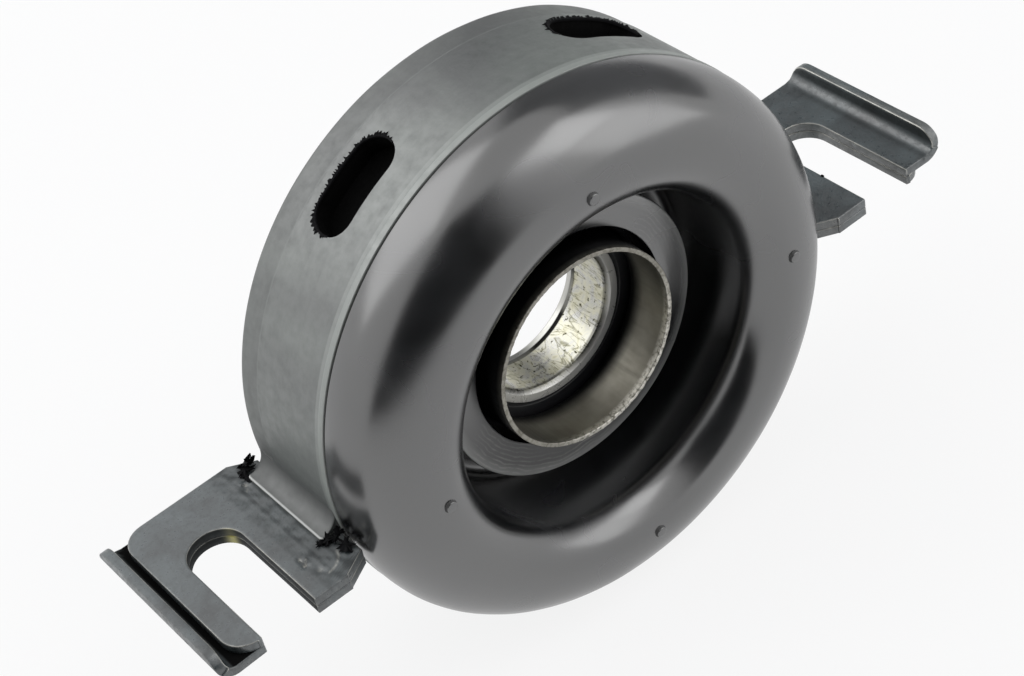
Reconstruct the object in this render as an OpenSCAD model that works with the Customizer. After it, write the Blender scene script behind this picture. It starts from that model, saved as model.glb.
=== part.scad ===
// Driveshaft centre bearing: a ball bearing held in a rubber drum, with two slotted steel ears.
// The shaft axis is Y with the front at -Y, the ears lie along X, the origin is the middle of the bearing.

/* [Ball bearing] */
// Bore of the inner ring, where the shaft is pressed in
bore_d = 30; // [27:0.5:32]
// Outside diameter of the outer ring
bearing_d = 55; // [53:0.5:58]
// Width of the two rings
bearing_w = 13; // [12:0.5:16]
// Diameter of a ball
ball_d = 7.144; // [6.4:0.001:7.5]
// Number of balls
ball_count = 11; // [8:1:12]
// Distance between the shoulders of the two rings
ring_gap = 4.5; // [3.4:0.1:4.8]
// Thickness of the inner ring under the seal lips
land_t = 2.5; // [2:0.1:3]
// Chamfer on the edges of the rings
ring_chamfer = 0.8; // [0.4:0.1:1.2]
// Running clearance between a ball and its races
race_gap = 0.1; // [0.05:0.01:0.15]

/* [Cage and seals] */
// Thickness of the cage sheet
cage_t = 0.7; // [0.5:0.05:0.8]
// Width of the cage ribbon, measured outwards from the shaft
cage_w = 2.4; // [2:0.1:3]
// Clearance between a ball and its pocket
pocket_gap = 0.15; // [0.1:0.01:0.2]
// Diameter of a cage rivet
rivet_d = 1; // [0.8:0.1:1.2]
// Diameter of a rivet head
rivet_head_d = 1.8; // [1.6:0.1:2]
// Height of a rivet head
rivet_head_h = 0.4; // [0.3:0.05:0.6]
// Thickness of a seal
seal_t = 1.1; // [0.8:0.05:1.3]
// Depth of a seal below the face of the rings
seal_set = 0.4; // [0.2:0.05:0.6]
// Height of the seal seat above the outer ring's shoulder
seal_seat = 0.8; // [0.5:0.05:1.2]
// Running clearance of a seal lip on the inner ring
seal_gap = 0.1; // [0.05:0.01:0.15]
// Length of the thin lip of a seal
seal_lip = 0.8; // [0.5:0.05:1.2]

/* [Housing and collar] */
// Sheet thickness of the bearing housing
housing_t = 1.2; // [1:0.1:2]
// Outside radius of the housing's front corner
housing_corner_r = 2; // [1.6:0.1:3]
// Reach of the housing's rolled rear edge over the outer ring
crimp = 2; // [1:0.1:3]
// Outside diameter of the collar on the front shield
collar_d = 41.6; // [40.5:0.1:43]
// Sheet thickness of the front shield
shield_t = 1; // [0.8:0.1:1.5]
// Inside radius of the bend between the collar and its flange
shield_bend_r = 1; // [0.6:0.1:1.5]
// Reach of the collar forward of the rubber hub
collar_reach = 5.1; // [3:0.1:8]

/* [Rubber hub] */
// Rubber over the housing inside the front groove
hub_skin = 1; // [0.8:0.1:1.6]
// Rubber in front of the housing
hub_lip = 4.8; // [3:0.1:6]
// Gap between the collar and the rim of the hub
hub_gap = 1.6; // [1:0.1:2]
// Depth of the groove round the hub
groove_depth = 10; // [8:0.5:12]
// Rubber over the rear of the housing
rear_skin = 2.5; // [1.5:0.1:4]

/* [Drum and roll] */
// Outside diameter of the drum
drum_d = 113; // [108:0.5:120]
// Width of the drum, from its back rim to the seam
drum_w = 27; // [26:0.5:32]
// Rubber outside the steel hoop
skin_out = 1.8; // [1.4:0.1:2.4]
// Rubber inside the steel hoop
skin_in = 1.5; // [1:0.1:2.2]
// Depth of the shallow step in the back of the drum
step_h = 0.25; // [0.1:0.05:0.5]
// Width of the stepped band at the back of the drum
step_w = 6.5; // [4:0.5:9]
// Radius of the back rim's edge
rim_r = 1.2; // [0.8:0.1:1.5]
// Size of the seam groove between drum and roll
seam_w = 0.5; // [0.3:0.05:0.8]
// Straight length of the drum forward of the seam
roll_lead = 2.4; // [1:0.1:4]
// Diameter of the roll's crest
crest_d = 84.8; // [82:0.2:90]
// Radius of the roll's inner shoulder
roll_inner_r = 8; // [7:0.1:9]
// Number of moulding nubs on the crest
nub_count = 4; // [3:1:8]
// Diameter of a moulding nub
nub_d = 2.2; // [1.5:0.1:3]
// Height of a moulding nub
nub_h = 0.5; // [0.3:0.1:1]

/* [Vents] */
// Length of a vent slot round the drum
vent_len = 20.5; // [16:0.5:24]
// Width of a vent slot
vent_w = 9.6; // [7:0.1:11]
// Lean of each vent from straight up or straight down
vent_lean = 30; // [24:1:40]
// Rubber round the edge of a vent, inside the hole of the hoop
vent_rim = 1.5; // [1:0.1:2.5]

/* [Brackets] */
// Sheet thickness of the brackets
sheet_t = 2; // [1.5:0.1:2.5]
// Width of the steel hoop
hoop_w = 24; // [20:0.5:25]
// Drop of the plane where the two brackets meet, below the shaft axis
split_drop = 9.7; // [5:0.1:14]
// Inside radius of the bend between hoop and ear
bend_r = 3; // [2:0.1:4]
// Distance between the two slots
slot_pitch = 150; // [146:0.5:160]
// Width of a slot
slot_w = 11.5; // [9:0.1:13]
// Distance of the slots' round ends behind the middle of the bearing
slot_back = 1; // [-4:0.5:4]
// Metal outside the slot of a plain ear
ear_rim = 5.65; // [4:0.05:8]
// Reach of the ears forward of the middle of the bearing
ear_front = 22; // [18:0.5:26]
// Reach of the ears behind the middle of the bearing
ear_back = 18.2; // [14:0.1:22]
// Corner radius of a plain ear
ear_corner_r = 5; // [2:0.5:6]
// Inside radius of the bend of a lip
lip_bend_r = 2.2; // [1.5:0.1:3]
// Gap between a plain ear's edge and the bend of the lip round it
lip_gap = 0.2; // [0.1:0.05:1]
// Height of a lip, from the underside of its ear
lip_h = 6.2; // [5.6:0.1:10]
// Corner radius at the ends of a lip
lip_corner_r = 4; // [2:0.5:5]
// Gap between the drum and the ears beside the hoop
root_gap = 0.7; // [0.4:0.1:1.5]
// Width of the bevel on an ear's corners beside the drum
root_bevel_w = 5; // [2:0.5:8]
// Length of the bevel on an ear's corners beside the drum
root_bevel_len = 3.2; // [1:0.1:5]
// Radius of the rubber fillet over the ear roots
root_r = 4; // [2.5:0.5:6]
// Thickness of the rubber's edge on the ears
root_edge = 0.8; // [0.4:0.1:1.5]

/* [Hidden] */
$fn = 96;
far = 400;
// Overlap of shapes that run into each other
bite = 0.01;

pitch_r = (bore_d + bearing_d) / 4;
ball_r = ball_d / 2;
race_r = ball_r + race_gap;
ring_a = bearing_w / 2;
bearing_r = bearing_d / 2;
land_r = bore_d / 2 + land_t;
seal_front_a = ring_a - seal_set;
seal_back_a = seal_front_a - seal_t;
seal_r = pitch_r + ring_gap / 2 + seal_seat;
land_a = seal_back_a - seal_gap;
pocket_r = ball_r + pocket_gap;
ball_step = 360 / ball_count;

flange_a = ring_a + shield_t;
collar_r = collar_d / 2;
flange_r = bearing_r - (housing_corner_r - housing_t) - seal_gap;
housing_r = bearing_r + housing_t;
housing_a = flange_a + housing_t;
crimp_a = -ring_a - housing_t;

hub_r = housing_r + hub_skin;
hub_a = housing_a + hub_lip;
hub_open_r = collar_r + hub_gap;
collar_a = hub_a + collar_reach;

drum_r = drum_d / 2;
seam_a = drum_w / 2;
wall = skin_out + sheet_t + skin_in;
crest_r = crest_d / 2;
roll_outer_r = drum_r - crest_r;
lead_a = seam_a + roll_lead;
crest_a = lead_a + roll_outer_r;
shoulder_a = crest_a - roll_inner_r;
inner_wall_r = crest_r - roll_inner_r;
groove_r = (inner_wall_r - hub_r) / 2;
groove_at = [hub_r + groove_r, hub_a - groove_depth + groove_r];

hoop_r = drum_r - skin_out;
split_y = -split_drop;
ear_end = slot_pitch / 2 + slot_w / 2 + ear_rim;
lip_start = ear_end + lip_gap;
root_x0 = hoop_r - sheet_t;

// Every shape below is drawn with X to the right, Y up and Z forward along the shaft, then stood up by this.
module stand() {
  rotate([90, 0, 0]) children();
}

// Revolves a half section, whose points are [radius, distance forward].
module turned() {
  rotate_extrude() children();
}

// Ring between two radii.
module annulus(inner, outer) {
  difference() {
    circle(outer);
    circle(inner);
  }
}

// Quarter round of a bent sheet, concave towards +X and +Y, with its centre at the origin.
module bend_quarter(inner, sheet) {
  intersection() {
    annulus(inner, inner + sheet);
    translate([-far, -far]) square(far);
  }
}

// Area that rounds off the corner at the origin of a shape lying towards +X and +Y.
module corner_waste(radius) {
  difference() {
    translate([-1, -1]) square(radius + 1);
    translate([radius, radius]) circle(radius);
  }
}

// Half section of a ring with chamfered outer edges.
module ring_section(inner, outer, inner_chamfer, outer_chamfer) {
  polygon([
    [inner + inner_chamfer, -ring_a], [outer - outer_chamfer, -ring_a], [outer, -ring_a + outer_chamfer],
    [outer, ring_a - outer_chamfer], [outer - outer_chamfer, ring_a], [inner + inner_chamfer, ring_a],
    [inner, ring_a - inner_chamfer], [inner, -ring_a + inner_chamfer]]);
}

module inner_ring() {
  shoulder_r = pitch_r - ring_gap / 2;
  color("gainsboro") stand() turned() difference() {
    ring_section(bore_d / 2, shoulder_r, ring_chamfer, 0);
    translate([pitch_r, 0]) circle(race_r);
    for (side = [0, 1]) mirror([0, side]) translate([land_r, land_a]) square([ring_gap + pitch_r, ring_a]);
  }
}

module outer_ring() {
  color("silver") stand() turned() difference() {
    ring_section(pitch_r + ring_gap / 2, bearing_r, 0, ring_chamfer);
    translate([pitch_r, 0]) circle(race_r);
    for (side = [0, 1]) mirror([0, side]) translate([0, seal_back_a]) square([seal_r, ring_a]);
  }
}

// Seal disc with a thin lip that runs on the inner ring.
module seal_disc() {
  lip_r = land_r + seal_gap;
  lip_in = seal_t / 4;
  disc_r = lip_r + seal_lip;
  color("dimgray") turned() polygon([
    [lip_r, seal_back_a + lip_in], [disc_r, seal_back_a], [seal_r, seal_back_a], [seal_r, seal_front_a],
    [disc_r, seal_front_a], [disc_r, seal_front_a - lip_in], [lip_r, seal_front_a - lip_in]]);
}

module front_seal() {
  stand() seal_disc();
}

module rear_seal() {
  stand() mirror([0, 0, 1]) seal_disc();
}

module ball(i) {
  color("lightsteelblue") stand() rotate([0, 0, (i - 1) * ball_step])
    translate([pitch_r, 0, 0]) sphere(ball_r);
}

// Copies of a shape at the pitch circle, turned by a share of the step between balls.
module round_pitch(share) {
  for (i = [1:ball_count]) rotate([0, 0, (i - 1 + share) * ball_step]) translate([pitch_r, 0, 0]) children();
}

// Front half of the ribbon cage: a flat ring that bulges round each ball.
module cage_half() {
  color("burlywood") difference() {
    intersection() {
      union() {
        cylinder(h = cage_t, r = bearing_r);
        round_pitch(0) sphere(pocket_r + cage_t);
      }
      linear_extrude(pocket_r + 2 * cage_t) annulus(pitch_r - cage_w / 2, pitch_r + cage_w / 2);
    }
    round_pitch(0) sphere(pocket_r);
    round_pitch(0.5) cylinder(h = 4 * cage_t, d = rivet_d, center = true);
  }
}

module cage_front() {
  stand() cage_half();
}

module cage_rear() {
  stand() mirror([0, 0, 1]) cage_half();
}

module cage_rivets() {
  head_a = cage_t + rivet_head_h;
  color("tan") stand() round_pitch(0.5) turned() union() {
    translate([0, -head_a]) square([rivet_d / 2, 2 * head_a]);
    for (side = [0, 1]) mirror([0, side]) translate([0, cage_t]) square([rivet_head_d / 2, rivet_head_h]);
  }
}

// Filled outer outline of the housing, with its round front corner.
module housing_outline() {
  corner_r = housing_corner_r;
  difference() {
    translate([0, crimp_a]) square([housing_r, housing_a - crimp_a]);
    translate([housing_r, housing_a]) rotate(180) corner_waste(corner_r);
    translate([housing_r, crimp_a]) rotate(90) corner_waste(housing_t);
  }
}

module bearing_housing() {
  inside_r = housing_corner_r - housing_t;
  color("slategray") stand() turned() difference() {
    housing_outline();
    difference() {
      translate([0, -ring_a]) square([bearing_r, flange_a + ring_a]);
      translate([bearing_r, flange_a]) rotate(180) corner_waste(inside_r);
    }
    translate([0, -far]) square([bearing_r - crimp, far]);
    square([hub_open_r, far]);
  }
}

module front_shield() {
  turn_r = collar_r + shield_bend_r;
  turn_a = flange_a + shield_bend_r;
  color("rosybrown") stand() turned() union() {
    translate([turn_r, ring_a]) square([flange_r - turn_r, shield_t]);
    translate([turn_r, turn_a]) bend_quarter(shield_bend_r, shield_t);
    translate([collar_r - shield_t, turn_a]) square([shield_t, collar_a - turn_a]);
  }
}

// Outline of drum, roll and inner wall, drawn in by an inset; open_back carries it past the back rim.
module roll_outline(inset, open_back) {
  translate([crest_r, lead_a]) intersection() {
    circle(roll_outer_r - inset);
    square(far);
  }
  translate([crest_r, shoulder_a]) intersection() {
    circle(roll_inner_r - inset);
    translate([-far, 0]) square(far);
  }
  translate([crest_r, -seam_a - open_back]) square([roll_outer_r - inset, lead_a + seam_a + open_back]);
  translate([inner_wall_r + inset, groove_at.y - open_back])
    square([roll_inner_r - inset, shoulder_a - groove_at.y + open_back]);
}

// Half section of the rubber, from the drum over the roll and down through the groove to the hub.
module cushion_section() {
  difference() {
    roll_outline(0, 0);
    roll_outline(wall, seam_a);
    translate([drum_r - step_h, -far]) square([far, far - seam_a + step_w]);
    translate([drum_r - step_h, -seam_a]) rotate(90) corner_waste(rim_r);
    translate([drum_r - seam_w, seam_a]) square([far, seam_w]);
  }
  difference() {
    union() {
      intersection() {
        translate(groove_at) circle(groove_r + wall);
        translate([bearing_r, -far]) square([far, far + groove_at.y]);
      }
      translate([bearing_r, crimp_a]) square([housing_t + rear_skin, groove_at.y - crimp_a]);
      translate([hub_open_r, 0]) square([hub_r - hub_open_r, hub_a]);
    }
    translate(groove_at) circle(groove_r);
    translate([hub_r, groove_at.y]) square(far);
    housing_outline();
  }
}

// Vent slots through the drum wall, larger all round by a margin.
module vent_slots(margin) {
  width = vent_w + 2 * margin;
  straight = vent_len - vent_w;
  for (lean = [-vent_lean, vent_lean], up = [90, 270])
    rotate([0, 0, up + lean]) rotate([0, 90, 0]) translate([0, 0, drum_r - 2 * wall])
      linear_extrude(3 * wall) union() {
        square([width, straight], center = true);
        for (end = [-1, 1]) translate([0, end * straight / 2]) circle(d = width);
      }
}

// Rubber round one ear root, on the right, with a fillet above or below the sheets.
module root_pad(up) {
  edge = sheet_t + root_edge;
  reach_y = split_y + up * (edge + root_r);
  reach_x = sqrt(pow(drum_r + root_r - bite, 2) - pow(reach_y, 2));
  difference() {
    translate([root_x0, min(split_y, reach_y)]) square([reach_x - root_x0, edge + root_r]);
    translate([reach_x, reach_y]) circle(root_r);
  }
}

module rubber_cushion() {
  color("darkslategray") stand() difference() {
    union() {
      turned() cushion_section();
      translate([0, 0, -hoop_w / 2]) linear_extrude(hoop_w)
        for (side = [0, 1], up = [-1, 1]) mirror([side, 0]) root_pad(up);
      for (i = [1:nub_count]) rotate([0, 0, i * 360 / nub_count]) translate([crest_r, 0, shoulder_a])
        cylinder(h = roll_inner_r + nub_h, d = nub_d);
    }
    upper_steel();
    lower_steel();
    vent_slots(0);
  }
}

// Area under one face of a bracket's sheet: a disc on a flat, with a fillet in both corners between them.
module crown(disc_r, flat_y, fillet_r) {
  at_y = flat_y + fillet_r;
  at_x = sqrt(pow(disc_r + fillet_r - bite, 2) - at_y * at_y);
  circle(disc_r);
  translate([-ear_end, -far]) square([ear_end + lip_start, far + flat_y]);
  for (side = [0, 1]) mirror([side, 0]) difference() {
    polygon([[0, 0], [at_x, flat_y - fillet_r], [at_x, at_y]]);
    translate([at_x, at_y]) circle(fillet_r);
  }
}

// Lip turned up at the outer end of the right ear, whose underside is given.
module lip(under) {
  outer_x = lip_start + lip_bend_r + sheet_t;
  inner_x = outer_x - sheet_t;
  difference() {
    translate([ear_end, under]) square([outer_x - ear_end, lip_h]);
    translate([outer_x, under]) rotate(90) corner_waste(lip_bend_r + sheet_t);
    difference() {
      translate([0, under + sheet_t]) square([inner_x, far]);
      translate([inner_x, under + sheet_t]) rotate(90) corner_waste(lip_bend_r);
    }
  }
}

// Plan of the bevels beside the drum, on the right, at the given reach of the ears.
module root_bevel(reach) {
  polygon([
    [0, reach - root_bevel_len], [drum_r, reach - root_bevel_len],
    [drum_r + 2 * root_bevel_w, reach + root_bevel_len], [0, reach + root_bevel_len]]);
}

// What is cut from both brackets: the hoop's spare width, the open slots, the bevels beside the drum and the
// holes behind the vents.
module bracket_cuts() {
  for (end = [[-far, -hoop_w / 2], [hoop_w / 2, far]])
    translate([0, 0, end[0]]) cylinder(h = end[1] - end[0], r = drum_r + root_gap);
  translate([0, far / 2, 0]) rotate([90, 0, 0]) linear_extrude(far) for (side = [0, 1]) mirror([side, 0]) {
    translate([slot_pitch / 2, -slot_back]) circle(d = slot_w);
    translate([(slot_pitch - slot_w) / 2, -slot_back]) square([slot_w, far]);
    root_bevel(ear_front);
    mirror([0, 1]) root_bevel(ear_back);
  }
  vent_slots(vent_rim);
}

// Round corners of a plain ear on the right.
module plain_corner_cuts() {
  translate([0, far / 2, 0]) rotate([90, 0, 0]) linear_extrude(far) {
    translate([ear_end, ear_front]) rotate(180) corner_waste(ear_corner_r);
    translate([ear_end, -ear_back]) rotate(90) corner_waste(ear_corner_r);
  }
}

// Round top corners of a lip on the right.
module lip_corner_cuts(under) {
  translate([lip_start, under + lip_h, 0]) rotate([0, 90, 0]) linear_extrude(far) {
    translate([-ear_front, 0]) rotate(-90) corner_waste(lip_corner_r);
    translate([ear_back, 0]) rotate(180) corner_waste(lip_corner_r);
  }
}

// One bracket with its lip on the right; up is 1 with the hoop above its ears, -1 with the hoop below.
module bracket_steel(up) {
  flat_y = up * split_y;
  under = min(split_y, split_y + up * sheet_t);
  difference() {
    translate([0, 0, -ear_back]) linear_extrude(ear_back + ear_front) {
      mirror([0, 1 - up]) difference() {
        crown(hoop_r, flat_y + sheet_t, bend_r);
        crown(hoop_r - sheet_t, flat_y, bend_r + sheet_t);
      }
      lip(under);
    }
    bracket_cuts();
    lip_corner_cuts(under);
    mirror([1, 0, 0]) plain_corner_cuts();
  }
}

module upper_steel() {
  bracket_steel(1);
}

module lower_steel() {
  mirror([1, 0, 0]) bracket_steel(-1);
}

module upper_bracket() {
  color("#3b3f42") stand() upper_steel();
}

module lower_bracket() {
  color("#33373a") stand() lower_steel();
}

upper_bracket();
lower_bracket();
rubber_cushion();
bearing_housing();
front_shield();
outer_ring();
inner_ring();
front_seal();
rear_seal();
cage_front();
cage_rear();
cage_rivets();
for (i = [1:ball_count]) ball(i);
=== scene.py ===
import bmesh
import bpy
import numpy as np
from mathutils import Matrix


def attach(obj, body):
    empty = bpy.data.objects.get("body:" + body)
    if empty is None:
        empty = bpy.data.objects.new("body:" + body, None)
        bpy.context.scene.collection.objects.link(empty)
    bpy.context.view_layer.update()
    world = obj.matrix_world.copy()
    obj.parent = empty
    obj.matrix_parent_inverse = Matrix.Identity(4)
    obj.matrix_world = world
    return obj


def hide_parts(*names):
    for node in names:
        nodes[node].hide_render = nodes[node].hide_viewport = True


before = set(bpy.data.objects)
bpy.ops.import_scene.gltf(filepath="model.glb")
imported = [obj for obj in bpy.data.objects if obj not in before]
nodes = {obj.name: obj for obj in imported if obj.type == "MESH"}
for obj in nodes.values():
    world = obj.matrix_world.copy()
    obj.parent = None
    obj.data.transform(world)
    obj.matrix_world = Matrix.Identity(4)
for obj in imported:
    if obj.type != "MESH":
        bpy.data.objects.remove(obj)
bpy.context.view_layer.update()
scene = bpy.context.scene
scene.view_settings.view_transform = "Standard"
mm = 0.001  # shapes below are worked out in millimetres, the scene is in metres
tau = 2 * np.pi
print("frame loaded:", len(nodes), "nodes")


# Camera of the photograph, in the part's frame: its place, the way it looks and how it is turned
photo = {"place": (-165.177, -276.975, 279.963), "right": (0.759376, -0.625215, -0.180153),
         "up": (0.532097, 0.437382, 0.724961), "forward": (0.374461, 0.646377, -0.664813),
         "focalPx": 2227.908, "widthPx": 1024, "sensor": 36.0}
cameraData = bpy.data.cameras.new("photo_camera")
cameraData.sensor_width = photo["sensor"]
cameraData.lens = photo["focalPx"] / photo["widthPx"] * photo["sensor"]
cameraData.clip_start, cameraData.clip_end = 0.01, 20
camera = bpy.data.objects.new("photo_camera", cameraData)
scene.collection.objects.link(camera)
axes = np.array([photo["right"], photo["up"], -np.array(photo["forward"])]).T
camera.matrix_world = Matrix.Translation(np.array(photo["place"]) * mm) @ Matrix(axes.tolist()).to_4x4()
scene.camera = camera
print("camera set")


def linear(hexText):  # sRGB hex to linear RGBA
    srgb = np.array([int(hexText[i:i + 2], 16) for i in (1, 3, 5)]) / 255
    rgb = np.where(srgb <= 0.04045, srgb / 12.92, ((srgb + 0.055) / 1.055) ** 2.4)
    return (*rgb.tolist(), 1.0)


def perMm(size):  # texture scale that gives features of this size in millimetres
    return 1 / (size * mm)


def addNode(tree, kind, settings=None, **inputs):  # a key like in2 is a socket by number, any other by name
    node = tree.nodes.new(kind)
    for key, value in (settings or {}).items():
        setattr(node, key, value)
    for key, value in inputs.items():
        socket = node.inputs[int(key[2:])] if key[:2] == "in" else node.inputs[key.replace("_", " ")]
        if isinstance(value, bpy.types.NodeSocket):
            tree.links.new(value, socket)
        else:
            socket.default_value = value
    return node


def newMaterial(name):
    material = bpy.data.materials.new(name)
    material.use_nodes = True
    tree = material.node_tree
    tree.nodes.clear()
    return material, tree


# Faces of a grid of rows and columns, as indices of its corners
def gridFaces(rows, cols, closeRows=False, closeCols=False):
    i, j = np.meshgrid(np.arange(rows if closeRows else rows - 1), np.arange(cols if closeCols else cols - 1),
                       indexing="ij")
    nextI, nextJ = (i + 1) % rows, (j + 1) % cols
    return np.stack([i * cols + j, nextI * cols + j, nextI * cols + nextJ, i * cols + nextJ], -1).reshape(-1, 4)


# A grid of points with its faces, its marks and the number of its finish in the piece's list
def patch(points, closeRows=False, closeCols=False, finish=0, **marks):
    rows, cols = points.shape[:2]
    spread = {key: np.broadcast_to(value, (rows, cols)).reshape(-1) for key, value in marks.items()}
    return points.reshape(-1, 3), gridFaces(rows, cols, closeRows, closeCols), spread, finish


# One mesh from several patches: shared edges are welded, faces turned outwards, edges over the angle kept sharp
def makePiece(name, patches, *finishes, body="cushion_mount", slot=None, replaces=(), sharp=40, weld=0.004):
    starts = np.cumsum([0] + [len(p[0]) for p in patches])
    points = np.concatenate([p[0] for p in patches]) * mm
    faces = np.concatenate([p[1] + s for p, s in zip(patches, starts)])
    mesh = bpy.data.meshes.new(name)
    mesh.vertices.add(len(points))
    mesh.vertices.foreach_set("co", points.astype(np.float32).ravel())
    mesh.loops.add(faces.size)
    mesh.loops.foreach_set("vertex_index", faces.astype(np.int32).ravel())
    mesh.polygons.add(len(faces))
    mesh.polygons.foreach_set("loop_start", np.arange(0, faces.size, 4, dtype=np.int32))
    mesh.polygons.foreach_set("material_index", np.repeat([p[3] for p in patches], [len(p[1]) for p in patches]))
    mesh.update(calc_edges=True)
    for key in sorted({k for p in patches for k in p[2]}):
        values = np.concatenate([p[2].get(key, np.zeros(len(p[0]))) for p in patches])
        mesh.attributes.new(key, "FLOAT", "POINT").data.foreach_set("value", values.astype(np.float32))
    work = bmesh.new()
    work.from_mesh(mesh)
    bmesh.ops.remove_doubles(work, verts=work.verts, dist=weld * mm)
    bmesh.ops.recalc_face_normals(work, faces=work.faces)
    work.to_mesh(mesh)
    work.free()
    mesh.polygons.foreach_set("use_smooth", np.ones(len(mesh.polygons), dtype=bool))
    mesh.set_sharp_from_angle(angle=np.radians(sharp))
    for material in finishes:
        mesh.materials.append(material)
    piece = bpy.data.objects.new(name, mesh)
    scene.collection.objects.link(piece)
    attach(piece, body)
    if replaces:
        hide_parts(*replaces)
    print("piece", name, len(mesh.vertices), "points", len(mesh.polygons), "faces")
    return piece


# Path through corners (across, along, radius): straight runs joined by an arc of that radius at each corner
def roundedPath(corners, closed=True, fine=12.0):
    corners = np.array(corners, float)
    place, radius = corners[:, :2], corners[:, 2]
    count, path = len(corners), []
    for k in range(count):
        here, before, after = place[k], place[k - 1], place[(k + 1) % count]
        if radius[k] < 1e-6 or (not closed and k in (0, count - 1)):
            path.append(here[None])
            continue
        inward, onward = (before - here), (after - here)
        inward, onward = inward / np.linalg.norm(inward), onward / np.linalg.norm(onward)
        half = np.arccos(np.clip(inward @ onward, -1, 1)) / 2
        middle = here + (inward + onward) / np.linalg.norm(inward + onward) * radius[k] / np.sin(half)
        first = here + inward * radius[k] / np.tan(half) - middle
        turn = (np.pi - 2 * half) * np.sign(inward[0] * onward[1] - inward[1] * onward[0]) * -1
        steps = np.linspace(0, turn, max(3, int(np.ceil(abs(np.degrees(turn)) / fine)) + 1))
        path.append(middle + np.stack([first[0] * np.cos(steps) - first[1] * np.sin(steps),
                                       first[0] * np.sin(steps) + first[1] * np.cos(steps)], -1))
    return np.concatenate(path)


# Arc points (across, along) about a centre, from one angle to another in degrees
def arc(centre, radius, start, end, count):
    turn = np.radians(np.linspace(start, end, count))
    return np.array(centre) + radius * np.stack([np.cos(turn), np.sin(turn)], -1)


def spaced(path, step):  # the same path with points no further apart than a step
    lengths = np.maximum(1, np.ceil(np.linalg.norm(np.diff(path, axis=0), axis=1) / step)).astype(int)
    run = np.repeat(np.arange(len(lengths)), lengths)
    share = np.concatenate([np.arange(n) / n for n in lengths])
    return np.concatenate([path[run] + (path[run + 1] - path[run]) * share[:, None], path[-1:]])


# Point of the frame from radius, angle about the shaft and distance forward
def around(radius, turn, forward):
    radius, turn, forward = np.broadcast_arrays(radius, turn, forward)
    return np.stack([radius * np.cos(turn), -forward, radius * np.sin(turn)], -1)


# Slow unevenness: a few sine waves of the place, each of the given length in millimetres
def unevenness(points, length, seed):
    x, y, z = np.moveaxis(points, -1, 0) * tau / length
    return (np.sin(1.1 * x + 0.7 * y + 1.3 * seed) + np.sin(0.9 * z - 0.8 * x + 2.1 * seed)
            + np.sin(0.6 * y + 1.2 * z + 0.7 * seed) + np.sin(1.7 * x - 1.3 * z + 0.4 * seed)) / 4


def jag(count, seed):  # a repeatable ragged row of numbers between 0 and 1
    k = np.arange(count)
    return np.abs(np.sin(12.9898 * k + 78.233 * seed) * 43758.5453) % 1.0


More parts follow.
